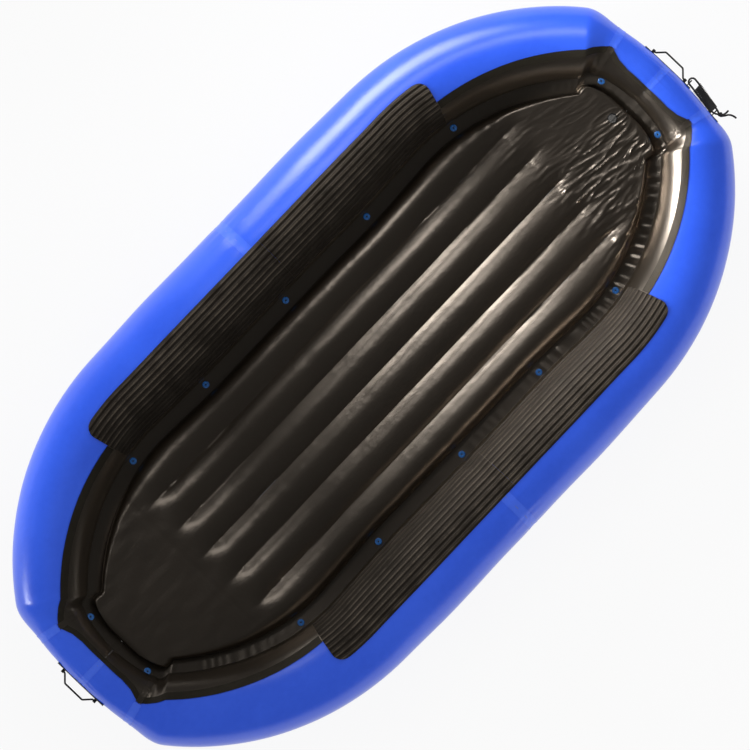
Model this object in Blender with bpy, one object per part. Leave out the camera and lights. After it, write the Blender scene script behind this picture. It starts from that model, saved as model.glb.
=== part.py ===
"""Self-bailing inflatable raft: a ring of four tapered air chambers with raised ends, an I-beam floor
hung inside it on an eyeletted flange, ribbed wear pads, carry handles, valves and a short bow line.

The frame stands on the ground under the tubes: +X is the bow, +Y is port, +Z is up.
Every skin on a tube is laid on the same grid of stations (along the tube) and columns (round it),
so that it follows the tube below it at an even gap.
"""

import math

import bmesh
import bpy
from mathutils import Matrix, Vector

# The ring of tubes, in metres and radians. Angles round a tube are counted from its top, plus is outboard.
raft_length = 3.49
raft_width = 1.83
side_tube_diameter = 0.40
shoulder_tube_diameter = 0.29
corner_tube_diameter = 0.22
end_tube_diameter = 0.19
taper_lead = 0.21
curve_radius = 1.035
corner_radius = 0.215
end_half_length = 0.24247521
end_sweep_angle = math.radians(14)
end_rise = 0.29
chamber_wall = 0.0012
baffle_thickness = 0.001
clearance = 0.0003

# Grid on the tubes
curve_steps = 7
corner_steps = 4
flat_half_angle = math.radians(9)
attach_angle = math.radians(125)
pad_inner_angle = math.radians(72)
pad_outer_angle = math.radians(4)
side_skirt_angle = math.radians(34)
curve_skirt_angle = math.radians(27)
shoulder_skirt_angle = math.radians(19)
seam_skirt_angle = math.radians(0.5)
handle_skirt_angle = math.radians(24)
end_skirt_angle = math.radians(28)
seam_lead = 0.0225

# Black wrap and ribbed pads
skirt_thickness = 0.001
pad_split = 0.06
port_pad_ends = (-0.995, 1.01)
starboard_pad_ends = (-0.965, 1.04)
pad_corner_length = 0.05
pad_corner_columns = 2
pad_web = 0.0022
rib_height = 0.0028
rib_count = 11
rib_shares = (0.24, 0.76)

# Floor and its flange
floor_tube_count = 6
floor_outer_tube_share = 0.55
side_flange_width = 0.094
floor_crown = 0.066
floor_valley = 0.041
floor_end_thickness_share = 0.45
floor_wall = 0.0012
bow_beam_end = 1.12
stern_beam_end = 0.974
beam_thickness = 0.001
beam_margin = 0.0006
floor_edge_shares = (0.95, 0.8, 0.5, 0.25)
floor_lobe_shares = (0, 0.25, 0.5, 0.75)
floor_low_edge_shares = (0.85, 0.5)
floor_low_lobe_shares = (0, 0.5)
floor_section_stations = (1, 2, 4, 6, 8, 9, 13, 15)
floor_end_round_share = 0.35
floor_valve_offset = 0.02
end_flange_width = 0.055
flange_thickness = 0.0012

# Drain eyelets
eyelet_radius = 0.0145
eyelet_bore_radius = 0.006
eyelet_barrel_radius = 0.0088
eyelet_rim = 0.0016
eyelet_dome = 0.0007
eyelet_tail = 0.004
eyelet_sides = 12
port_eyelets = (-1.014, -0.521, -0.027, 0.471, 1.053)
starboard_eyelets = (-1.02, -0.498, 0.015, 0.496, 1.02)
side_eyelet_share = 0.57
end_eyelet_offset = 0.181
end_eyelet_share = 0.31

# Inflation valves
valve_flange_radius = 0.022
valve_flange_thickness = 0.003
valve_barrel_radius = 0.0145
valve_bore_radius = 0.0105
valve_seat_radius = 0.0055
valve_depth = 0.022
valve_seat_thickness = 0.003
plunger_stem_radius = 0.003
plunger_button_radius = 0.0055
plunger_button_thickness = 0.0025
plunger_button_drop = 0.006
plunger_disc_radius = 0.008
plunger_disc_thickness = 0.002
cap_radius = 0.017
cap_thickness = 0.0045
cap_spigot_radius = 0.0098
cap_spigot_length = 0.004
cap_grip_width = 0.006
cap_grip_height = 0.0045
cap_grip_length = 0.026
valve_sides = 14
tube_valve_station = 6
tube_valve_column = 14

# Carry handles
handle_patch_half_length = 0.115
handle_patch_thickness = 0.0025
handle_first_column = 13
handle_last_column = 15
handle_foot_offset = 0.078
handle_bar_half = 0.048
handle_reach = 0.031
handle_rod_radius = 0.0038
handle_grip_radius = 0.0048
handle_corner_radius = 0.009
handle_pin_length = 0.017
handle_boss_radius = 0.0072
handle_boss_length = 0.013
ear_root_share = 0.3

# Bow line and its anchor
cord_diameter = 0.008
staple_bar_radius = 0.003
staple_leg_half = 0.002
staple_root_share = 0.4
staple_reach = 0.021
staple_half_height = 0.016
bow_staple_offset = 0.109
anchor_stations = (12, 14)
bow_line_points = (
    (1.7900, -0.3045, 0.4225),
    (1.7790, -0.3050, 0.4225),
    (1.7680, -0.3030, 0.4222),
    (1.7575, -0.2965, 0.4218),
    (1.7505, -0.2860, 0.4212),
    (1.7440, -0.2750, 0.4200),
    (1.7412, -0.2620, 0.4175),
    (1.7430, -0.2450, 0.4130),
    (1.7465, -0.2200, 0.4100),
    (1.7490, -0.1900, 0.4120),
    (1.7520, -0.1600, 0.4180),
    (1.7545, -0.1350, 0.4260),
    (1.7555, -0.1155, 0.4315),
    (1.7576, -0.1075, 0.4315),
    (1.7635, -0.1016, 0.4315),
    (1.7715, -0.0995, 0.4315),
    (1.7795, -0.1016, 0.4315),
    (1.7854, -0.1075, 0.4315),
    (1.7875, -0.1155, 0.4315),
    (1.7860, -0.1380, 0.4260),
    (1.7825, -0.1620, 0.4180),
    (1.7775, -0.1900, 0.4130),
    (1.7725, -0.2200, 0.4110),
    (1.7670, -0.2450, 0.4120),
    (1.7630, -0.2660, 0.4135),
    (1.7585, -0.2800, 0.4130),
    (1.7555, -0.2920, 0.4115),
    (1.7600, -0.3035, 0.4100),
    (1.7700, -0.3105, 0.4080),
    (1.7800, -0.3160, 0.4050),
    (1.7890, -0.3250, 0.4000),
    (1.7950, -0.3370, 0.3945),
    (1.7985, -0.3500, 0.3880),
)
anchor_reach = 0.024

overrun = 0.004
search_steps = 30


def cleared_scene():
    """Empties the scene of whatever it held."""
    for other in list(bpy.data.objects):
        bpy.data.objects.remove(other, do_unlink=True)


def material(name, colour, roughness, metallic=0.0):
    found = bpy.data.materials.new(name)
    found.use_nodes = True
    shader = found.node_tree.nodes["Principled BSDF"]
    shader.inputs["Base Color"].default_value = (*colour, 1.0)
    shader.inputs["Roughness"].default_value = roughness
    shader.inputs["Metallic"].default_value = metallic
    return found


def place(name, mesh, finish, matrix=None):
    """A node: an object with its own copy of the finish, shaded smooth over gentle edges."""
    node = bpy.data.objects.new(name, mesh)
    bpy.context.scene.collection.objects.link(node)
    if matrix is not None:
        node.matrix_world = matrix
    if not mesh.materials:
        mesh.materials.append(finish)
    mesh.shade_smooth()
    mesh.set_sharp_from_angle(angle=math.radians(32))
    return node


def mesh_from(work, name):
    """Closes a working mesh: doubles merged, faces turned outwards."""
    bmesh.ops.remove_doubles(work, verts=work.verts, dist=clearance / 30)
    bmesh.ops.recalc_face_normals(work, faces=work.faces)
    mesh = bpy.data.meshes.new(name)
    work.to_mesh(mesh)
    work.free()
    return mesh


# The centre line of a tube in plan, for the quarter towards the bow on the port side. It is a straight
# run, a long curve, a tight corner and a nearly straight end, each tangent to the last. The long curve
# turns just far enough to bring the sides in to the end.
side_radius = side_tube_diameter / 2
end_radius = end_tube_diameter / 2
side_offset = raft_width / 2 - side_radius
corner_end_angle = math.pi / 2 - end_sweep_angle
narrowing = side_offset - end_half_length
curve_angle = math.acos(
    (curve_radius - narrowing - corner_radius * math.cos(corner_end_angle)) / (curve_radius - corner_radius)
)
corner_angle = corner_end_angle - curve_angle


def arc_run(radius, start, end):
    """How far an arc of the centre line goes forward and inboard between two headings."""
    forward = radius * (math.sin(end) - math.sin(start))
    inboard = radius * (math.cos(start) - math.cos(end))
    return forward, inboard


curve_forward = arc_run(curve_radius, 0, curve_angle)[0]
corner_forward = arc_run(corner_radius, curve_angle, corner_end_angle)[0]
end_arc_radius = end_half_length / math.cos(corner_end_angle)
end_forward = arc_run(end_arc_radius, corner_end_angle, math.pi / 2)[0]
straight_half = raft_length / 2 - end_radius - curve_forward - corner_forward - end_forward
taper_start = straight_half - taper_lead
curve_end = straight_half + curve_radius * curve_angle
corner_end = curve_end + corner_radius * corner_angle
seam = corner_end + seam_lead
bow_centre = corner_end + end_arc_radius * (math.pi / 2 - corner_end_angle)


def blend(value, knots):
    """Straight-line interpolation through (place, value) knots."""
    if value <= knots[0][0]:
        return knots[0][1]
    for (low, first), (high, second) in zip(knots, knots[1:]):
        if value <= high:
            return first + (second - first) * (value - low) / (high - low)
    return knots[-1][1]


def centre_line(run):
    """Plan position and heading of the centre line at a distance along it from midships."""
    arcs = (
        (curve_radius, 0, curve_angle),
        (corner_radius, curve_angle, corner_end_angle),
        (end_arc_radius, corner_end_angle, math.pi / 2),
    )
    x, y, left = min(run, straight_half), side_offset, run - straight_half
    heading = 0
    for radius, start, end in arcs:
        if left <= 0:
            break
        heading = min(start + left / radius, end)
        forward, inboard = arc_run(radius, start, heading)
        x += forward
        y -= inboard
        left -= radius * (end - start)
    return x, y, heading


def tube_radius(run):
    return blend(run, (
        (taper_start, side_radius),
        (curve_end, shoulder_tube_diameter / 2),
        (corner_end, corner_tube_diameter / 2),
        (bow_centre, end_radius),
    ))


def skirt_angle(run):
    """How far inboard of the top the black wrap's outer edge lies."""
    return blend(run, (
        (straight_half + (curve_end - straight_half) / curve_steps, side_skirt_angle),
        ((straight_half + curve_end) / 2, curve_skirt_angle),
        (curve_end, shoulder_skirt_angle),
        (seam, seam_skirt_angle),
        (bow_centre - handle_patch_half_length, handle_skirt_angle),
        (bow_centre, end_skirt_angle),
    ))


flange_height = side_radius * (math.cos(flat_half_angle) + math.cos(attach_angle))
attach_end = raft_length / 2 - end_radius - end_radius * math.sin(attach_angle)


def rocker(x):
    """Height of the floor's middle plane, which rises towards both ends."""
    over = max(0, abs(x) - taper_start) / (attach_end - taper_start)
    return flange_height + end_rise * over**2


# Columns round a tube: marks at the flat bottom, the flange's line, the pad's inner edge, the wrap's
# outer edge and the pad's outer edge, with even steps between them.
column_steps = (2, 3, 3, 2, 8)
attach_column = column_steps[0]
pad_inner_column = attach_column + column_steps[1]
skirt_column = pad_inner_column + column_steps[2]
top_column = skirt_column + column_steps[3]
last_column = top_column + column_steps[4]


def column_angles(run):
    edge = skirt_angle(run)
    bottom = math.pi - flat_half_angle
    marks = (-bottom, -attach_angle, -pad_inner_angle, -edge, pad_outer_angle, bottom)
    angles = []
    for low, high, steps in zip(marks, marks[1:], column_steps):
        angles += [low + (high - low) * step / steps for step in range(steps)]
    return angles + [bottom]


def station_list():
    runs = [0, taper_start, straight_half]
    runs += [straight_half + (curve_end - straight_half) * (k + 1) / curve_steps for k in range(curve_steps)]
    runs += [curve_end + (corner_end - curve_end) * (k + 1) / corner_steps for k in range(corner_steps)]
    return runs + [seam, bow_centre - handle_patch_half_length, bow_centre]


stations = station_list()


def station_point(index, column, lift):
    """A point of the tube's grid, raised from the surface, in the port bow quarter."""
    run = stations[index]
    x, y, heading = centre_line(run)
    radius = tube_radius(run)
    angle = column_angles(run)[column]
    attach_x = x - radius * math.sin(attach_angle) * math.sin(heading)
    height = rocker(attach_x) - radius * math.cos(attach_angle)
    out = (radius + lift) * math.sin(angle)
    up = (radius + lift) * math.cos(angle)
    return Vector((x + out * math.sin(heading), y + out * math.cos(heading), height + up))


def hull_point(run, side, column, lift):
    """The same at any distance from midships (plus is towards the bow) and any side (1 is port),
    on the flat facets between the grid's stations and columns."""
    reach = min(abs(run), bow_centre)
    index = max(k for k in range(len(stations) - 1) if stations[k] <= reach)
    share = (reach - stations[index]) / (stations[index + 1] - stations[index])
    low = min(int(column), last_column - 1)
    part = column - low
    near, far = station_point(index, low, lift), station_point(index + 1, low + 1, lift)
    if part > share:
        point = (1 - part) * near + (part - share) * station_point(index, low + 1, lift) + share * far
    else:
        point = (1 - share) * near + (share - part) * station_point(index + 1, low, lift) + part * far
    return Vector((math.copysign(1, run) * point.x, side * point.y, point.z))


def joined(work, rows, closed=False):
    """Faces between rows of points, each quad cut on the same diagonal seen from midships."""
    grid = [[work.verts.new(point) for point in row] for row, _ in rows]
    width = len(grid[0])
    for (near, far), (place_a, place_b) in zip(
        zip(grid, grid[1:]), zip([at for _, at in rows], [at for _, at in rows][1:])
    ):
        if abs(place_b) < abs(place_a):
            near, far = far, near
        for k in range(width if closed else width - 1):
            after = (k + 1) % width
            work.faces.new((near[k], near[after], far[after]))
            work.faces.new((near[k], far[after], far[k]))
    return grid


def runs_between(start, end):
    """The distances at which a skin between two places along a tube needs a row."""
    marks = {-run for run in stations} | set(stations)
    inner = [run for run in marks if start + overrun < run < end - overrun]
    return [start] + sorted(inner) + [end]


def side_places(start, end, side):
    return [(run, side) for run in runs_between(start, end)]


def end_places(start, end_sign):
    """Places across the bow or stern, from the port corner to the starboard one."""
    port = [(end_sign * run, 1) for run in runs_between(start, bow_centre)]
    starboard = [(run, -1) for run, _ in reversed(port)]
    return port + starboard[1:]


def sheet_between(name, under_rows, over_rows, finish):
    """A closed sheet between two skins, given as like rows of (points, distance along the tube)."""
    work = bmesh.new()
    under, over = joined(work, under_rows), joined(work, over_rows)
    last = len(under[0]) - 1
    for a, b in zip(range(len(under)), range(1, len(under))):
        work.faces.new((under[a][0], under[b][0], over[b][0], over[a][0]))
        work.faces.new((under[b][last], under[a][last], over[a][last], over[b][last]))
    for k in range(last):
        work.faces.new((under[0][k + 1], under[0][k], over[0][k], over[0][k + 1]))
        work.faces.new((under[-1][k], under[-1][k + 1], over[-1][k + 1], over[-1][k]))
    return place(name, mesh_from(work, name), finish)


def laid_sheet(name, places, columns, gap, thickness, finish):
    """A closed sheet laid on the tubes over a list of places and columns."""
    skins = []
    for lift in (gap, gap + thickness):
        skins.append([([hull_point(run, side, c, lift) for c in columns], run) for run, side in places])
    return sheet_between(name, *skins, finish)


def turned(profile, sides, name):
    """A ring or solid turned about Z from (radius, height) points; a zero radius closes it."""
    work = bmesh.new()
    rings = []
    for radius, height in profile:
        if radius == 0:
            rings.append([work.verts.new((0, 0, height))])
            continue
        turn = [2 * math.pi * k / sides for k in range(sides)]
        rings.append([work.verts.new((radius * math.cos(a), radius * math.sin(a), height)) for a in turn])
    pairs = list(zip(rings, rings[1:]))
    if profile[0][0] and profile[-1][0]:
        pairs.append((rings[-1], rings[0]))
    for first, second in pairs:
        for k in range(sides):
            after = (k + 1) % sides
            corners = [first[k % len(first)], first[after % len(first)]]
            corners += [second[after % len(second)], second[k % len(second)]]
            work.faces.new(list(dict.fromkeys(corners)))
    return mesh_from(work, name)


def cutter(name, mesh, matrix=None):
    """A shape that only cuts another."""
    node = bpy.data.objects.new(name, mesh)
    bpy.context.scene.collection.objects.link(node)
    if matrix is not None:
        node.matrix_world = matrix
    node.hide_render = True
    node.display_type = "WIRE"
    return node


def combine(node, other, operation):
    step = node.modifiers.new(other.name, "BOOLEAN")
    step.operation = operation
    step.object = other
    step.solver = "EXACT"


def settled_mesh(node, name):
    """The mesh of an object with its modifiers done, and the object gone."""
    graph = bpy.context.evaluated_depsgraph_get()
    mesh = bpy.data.meshes.new_from_object(node.evaluated_get(graph))
    mesh.name = name
    bpy.data.objects.remove(node, do_unlink=True)
    return mesh


def seat_matrix(corners):
    """A frame on a four-cornered facet: its origin in the middle, +Z away from the surface."""
    middle = sum(corners, Vector((0, 0, 0))) / len(corners)
    along = (corners[1] - corners[0] + corners[3] - corners[2]).normalized()
    across = (corners[2] - corners[0] + corners[3] - corners[1]).normalized()
    normal = along.cross(across).normalized()
    across = normal.cross(along)
    frame = Matrix((along, across, normal)).transposed().to_4x4()
    frame.translation = middle
    return frame


def tube_valve_seat(side, end_sign):
    """The frame of a chamber's valve, low on its outboard face near the end."""
    low, high = stations[tube_valve_station], stations[tube_valve_station + 1]
    corners = [
        hull_point(end_sign * run, side, column, 0)
        for column in (tube_valve_column, tube_valve_column + 1)
        for run in (low, high)
    ]
    frame = seat_matrix(corners)
    outward = Vector((0, side, 0))
    if frame.to_3x3().col[2].dot(outward) < 0:
        frame = frame @ Matrix.Rotation(math.pi, 4, "X")
    return frame


def chambers(finish, hole):
    """The four air chambers: tapered pipes of coated fabric, open where they meet their baffles."""
    joint = baffle_thickness / 2 + clearance
    inner_runs = runs_between(0, bow_centre)[1:-1]
    runs = [joint] + inner_runs + [bow_centre - joint]
    columns = range(last_column + 1)
    for side, side_name in ((1, "port"), (-1, "starboard")):
        for end_sign, end_name in ((1, "bow"), (-1, "stern")):
            name = f"chamber_{side_name}_{end_name}"
            work = bmesh.new()
            skins = []
            for lift in (0, -chamber_wall):
                rows = [([hull_point(end_sign * run, side, c, lift) for c in columns], run) for run in runs]
                skins.append(joined(work, rows, closed=True))
            outer, inner = skins
            for rim in (0, -1):
                for k in columns:
                    after = (k + 1) % len(columns)
                    work.faces.new((outer[rim][k], outer[rim][after], inner[rim][after], inner[rim][k]))
            node = place(name, mesh_from(work, name), finish)
            combine(node, cutter(f"{name}_hole", hole, tube_valve_seat(side, end_sign)), "DIFFERENCE")


def baffles(finish):
    """The four diaphragms that part the chambers, caught in the joints midships and at both ends."""
    columns = range(last_column + 1)
    half = baffle_thickness / 2
    for side, name in ((1, "port"), (-1, "starboard")):
        rings = [[hull_point(run, side, c, 0) for c in columns] for run in (-half, half)]
        disc(f"baffle_{name}", rings, finish)
    for end_sign, name in ((1, "bow"), (-1, "stern")):
        run = end_sign * (bow_centre - half)
        rings = [[hull_point(run, side, c, 0) for c in columns] for side in (1, -1)]
        disc(f"baffle_{name}", rings, finish)


def disc(name, rings, finish):
    """A thin plate between two like outlines."""
    work = bmesh.new()
    low, high = [[work.verts.new(point) for point in ring] for ring in rings]
    work.faces.new(low)
    work.faces.new(high)
    for k, _ in enumerate(low):
        after = (k + 1) % len(low)
        work.faces.new((low[k], low[after], high[after], high[k]))
    return place(name, mesh_from(work, name), finish)


def skirts(finish):
    """The black wrap on the inner face of the tubes, in four lengths that meet at the corner seams."""
    columns = range(attach_column, skirt_column + 1)
    reach = seam - clearance / 2
    for side, name in ((1, "port"), (-1, "starboard")):
        laid_sheet(f"skirt_{name}", side_places(-reach, reach, side), columns, clearance, skirt_thickness, finish)
    for end_sign, name in ((1, "bow"), (-1, "stern")):
        places = end_places(seam + clearance / 2, end_sign)
        laid_sheet(f"skirt_{name}", places, columns, clearance, skirt_thickness, finish)


def pad_profile():
    """The pad's section as (column, lift) points: its underside, then its ribs from outboard to inboard."""
    over_skirt = clearance + skirt_thickness + clearance
    profile = []
    for column in range(pad_inner_column, top_column + 1):
        profile.append((column, over_skirt if column <= skirt_column else clearance))
    width = top_column - pad_inner_column
    web = over_skirt + pad_web
    for rib in range(rib_count):
        for share in (0, *rib_shares):
            column = top_column - width * (rib + share) / rib_count
            profile.append((column, web if share == 0 else web + rib_height))
    return profile + [(pad_inner_column, web)]


def wear_pads(finish):
    """Ribbed mats glued over the top and inner face of the side tubes, in two lengths a side."""
    profile = pad_profile()
    corner_start = top_column - pad_corner_columns
    for side, side_name, ends in ((1, "port", port_pad_ends), (-1, "starboard", starboard_pad_ends)):
        for end_name, limit in (("stern", ends[0]), ("bow", ends[1])):
            sign = math.copysign(1, limit)
            start = pad_split + sign * clearance / 2
            runs = runs_between(min(start, limit), max(start, limit))
            if sign < 0:
                runs.reverse()
            work = bmesh.new()
            rings = []
            for run in runs:
                ring = []
                for column, lift in profile:
                    cut = pad_corner_length * max(0, column - corner_start) ** 2 / pad_corner_columns**2
                    reach = min(sign * run, sign * limit - cut)
                    ring.append(hull_point(sign * reach, side, column, lift))
                rings.append((ring, run))
            grid = joined(work, rings, closed=True)
            work.faces.new(grid[0])
            work.faces.new(grid[-1])
            name = f"wear_pad_{side_name}_{end_name}"
            place(name, mesh_from(work, name), finish)


def attach_point(run, side):
    """Where the flange meets the wrap."""
    gap = clearance + skirt_thickness + clearance + flange_thickness / 2
    return hull_point(run, side, attach_column, gap)


floor_half = side_offset - side_radius * math.sin(attach_angle) - side_flange_width
floor_tube_pitch = 2 * floor_half / floor_tube_count


def floor_edge_at_station(index):
    """The floor's edge in plan, inboard of the tube by the flange's width, at its middle plane."""
    run = stations[index]
    x, y, heading = centre_line(run)
    radius = tube_radius(run)
    share = (radius - end_radius) / (side_radius - end_radius)
    width = end_flange_width + (side_flange_width - end_flange_width) * share
    inboard = radius * math.sin(attach_angle) + width
    edge_x = x - inboard * math.sin(heading)
    return Vector((edge_x, y - inboard * math.cos(heading), rocker(edge_x)))


floor_knots = [(stations[index], floor_edge_at_station(index)) for index in floor_section_stations]
floor_knots.append((bow_centre, Vector((floor_knots[-1][1].x, 0, floor_knots[-1][1].z))))


def along_knots(value, knots):
    """A point between the floor's edge points, by a rising value at each."""
    return Vector([blend(value, [(at, edge[axis]) for at, edge in knots]) for axis in range(3)])


def floor_edge_point(run, side):
    point = along_knots(abs(run), [(0, Vector((0, floor_knots[0][1].y, flange_height)))] + floor_knots)
    return Vector((math.copysign(1, run) * point.x, side * point.y, point.z))


def flange_point(run, side, share):
    """A point on the flange between the wrap (0) and the floor (1)."""
    outer = attach_point(run, side)
    inner = floor_edge_point(run, side)
    inner += (outer - inner).normalized() * clearance
    return outer.lerp(inner, share)


def flange_frame(run, side, share):
    """A frame on the flange with +Z up off it."""
    step = side_flange_width / 4
    corners = [
        flange_point(run - step, side, share - 0.1),
        flange_point(run + step, side, share - 0.1),
        flange_point(run - step, side, share + 0.1),
        flange_point(run + step, side, share + 0.1),
    ]
    frame = seat_matrix(corners)
    frame.translation = flange_point(run, side, share)
    if frame.to_3x3().col[2].z < 0:
        frame = frame @ Matrix.Rotation(math.pi, 4, "X")
    return frame


def eyelet_places():
    """Name, distance from midships, side and share across the flange of each drain eyelet."""
    found = []
    for side, side_name, runs in ((1, "port", port_eyelets), (-1, "starboard", starboard_eyelets)):
        for number, run in enumerate(runs, 1):
            found.append((f"drain_eyelet_{side_name}_{number}", run, side, side_eyelet_share))
        for sign, end_name in ((1, "bow"), (-1, "stern")):
            run = sign * (bow_centre - end_eyelet_offset)
            found.append((f"drain_eyelet_{end_name}_{side_name}", run, side, end_eyelet_share))
    return found


def flanges(finish):
    """The strip that hangs the floor on the tubes, one length a side, holed for the eyelets."""
    hole = turned(
        (
            (0, -overrun),
            (eyelet_barrel_radius + clearance, -overrun),
            (eyelet_barrel_radius + clearance, overrun),
            (0, overrun),
        ),
        eyelet_sides,
        "eyelet_hole",
    )
    half = flange_thickness / 2
    reach = bow_centre - clearance
    for side, side_name in ((1, "port"), (-1, "starboard")):
        under, over = [], []
        for run in runs_between(-reach, reach):
            lift = Vector((0, 0, half))
            edges = [flange_point(run, side, share) for share in (0, 1)]
            under.append(([edge - lift for edge in edges], run))
            over.append(([edge + lift for edge in edges], run))
        node = sheet_between(f"floor_flange_{side_name}", under, over, finish)
        for eyelet, run, eyelet_side, share in eyelet_places():
            if eyelet_side == side:
                combine(node, cutter(f"{eyelet}_hole", hole, flange_frame(run, side, share)), "DIFFERENCE")


def drain_eyelets(finish):
    """Moulded eyelets through the flange, which let water out of the cockpit."""
    seat = flange_thickness / 2 + clearance
    profile = (
        (eyelet_bore_radius, -eyelet_tail),
        (eyelet_barrel_radius, -eyelet_tail),
        (eyelet_barrel_radius, seat),
        (eyelet_radius, seat),
        (eyelet_radius, seat + eyelet_rim),
        (eyelet_bore_radius, seat + eyelet_rim + eyelet_dome),
    )
    mesh = turned(profile, eyelet_sides, "drain_eyelet")
    for name, run, side, share in eyelet_places():
        place(name, mesh, finish, flange_frame(run, side, share))


floor_end = floor_knots[-1][1].x


def floor_edge_at(x):
    """Half the floor's width and the height of its middle plane at a place along the raft."""
    point = along_knots(abs(x), [(edge.x, edge) for _, edge in floor_knots[:-1]])
    return point.y, point.z


def floor_stations():
    """Places along the raft of the floor's sections, stern to bow."""
    knots = [edge.x for _, edge in floor_knots[:-1]]
    return [-x for x in reversed(knots)] + sorted(knots + [bow_beam_end])


def floor_pitch_at(half):
    """The pitch of the floor's inner tubes. They run straight until the floor is too narrow for them."""
    return min(floor_tube_pitch, half / (floor_tube_count / 2 - 1 + floor_outer_tube_share))


def floor_fullness(x):
    """Share of the full thickness, and how deep the valleys between the floor's tubes are."""
    beam_end = bow_beam_end if x > 0 else stern_beam_end
    past = max(0, abs(x) - beam_end) / (floor_end - beam_end)
    thickness_share = 1 - (1 - floor_end_thickness_share) * past
    valley_share = max(0, 1 - past / floor_end_round_share)
    return thickness_share, valley_share


def floor_section(x, inset):
    """The closed outline of the floor at one place: scalloped by its tubes, round at its edges."""
    half, level = floor_edge_at(x)
    pitch = floor_pitch_at(half)
    outer_width = half - pitch * (floor_tube_count / 2 - 1)
    thickness_share, valley_share = floor_fullness(x)
    crown = floor_crown * thickness_share
    valley = crown - (floor_crown - floor_valley) * valley_share * thickness_share

    def height(tube, share):
        """Half thickness at a share of the way across one tube, counted outboard on the outer ones."""
        across = 2 * share - 1
        if tube == 0 and across > 0:
            return crown * math.sqrt(1 - across**2)
        return valley + (crown - valley) * (1 - across**2)

    fine = (1, floor_edge_shares, floor_lobe_shares)
    coarse = floor_low_edge_shares, floor_low_lobe_shares
    profile = []
    for sign, outer, inner in ((1, *coarse) if inset else fine, (-1, *coarse)):
        line = [(half, 0)]
        line += [(half - outer_width * (1 - share), height(0, share)) for share in outer]
        for tube in range(1, floor_tube_count - 1):
            line += [(pitch * (floor_tube_count / 2 - tube - share), height(tube, share)) for share in inner]
        line.append((outer_width - half, valley))
        line += [(outer_width * (1 - share) - half, height(0, share)) for share in reversed(outer)]
        line = [(sign * y, sign * z) for y, z in line]
        profile += line
    if inset:
        count = len(profile)
        moved = []
        for k, (y, z) in enumerate(profile):
            before, after = profile[k - 1], profile[(k + 1) % count]
            along = Vector((after[0] - before[0], after[1] - before[1])).normalized()
            moved.append((y - along.y * inset, z + along.x * inset))
        profile = moved
    return [Vector((x, y, level + z)) for y, z in profile]


def lofted(name, sections):
    """A solid through a list of like sections."""
    work = bmesh.new()
    rows = [(section, section[0].x) for section in sections]
    grid = joined(work, rows, closed=True)
    work.faces.new(grid[0])
    work.faces.new(grid[-1])
    return mesh_from(work, name)


def floor_valve_seat():
    """The frame of the floor's valve, on the flat of its top near the bow."""
    corners = []
    for x in floor_stations()[-3:-1]:
        top = max(point.z for point in floor_section(x, 0))
        corners += [Vector((x, floor_valve_offset + side * valve_flange_radius, top)) for side in (-1, 1)]
    return seat_matrix([corners[0], corners[2], corners[1], corners[3]])


def floor(finish, hole):
    """The floor: one air bladder whose beams draw it into long tubes."""
    name = "floor_bladder"
    places = floor_stations()
    node = place(name, lofted(name, [floor_section(x, 0) for x in places]), finish)
    inside = [floor_section(x, floor_wall) for x in places]
    for section, sign in ((inside[0], 1), (inside[-1], -1)):
        for point in section:
            point.x += sign * floor_wall
    combine(node, cutter("floor_cavity", lofted("floor_cavity", inside)), "DIFFERENCE")
    combine(node, cutter("floor_valve_hole", hole, floor_valve_seat()), "DIFFERENCE")


def floor_beams(finish):
    """The fabric webs inside the floor, which hold its top and bottom the same distance apart."""
    places = [x for x in floor_stations() if -stern_beam_end <= x <= bow_beam_end]
    half = beam_thickness / 2
    middle = floor_tube_count // 2
    for beam in range(1, floor_tube_count):
        sections = []
        for x in places:
            half_width, level = floor_edge_at(x)
            y = floor_pitch_at(half_width) * (floor_tube_count / 2 - beam)
            reach = floor_valley - floor_wall - beam_margin - clearance
            corners = ((half, reach), (-half, reach), (-half, -reach), (half, -reach))
            sections.append([Vector((x, y + across, level + up)) for across, up in corners])
        number = beam - middle
        side_name = "centre" if number == 0 else f"{'port' if number < 0 else 'starboard'}_{abs(number)}"
        name = f"floor_beam_{side_name}"
        place(name, lofted(name, sections), finish)


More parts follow.
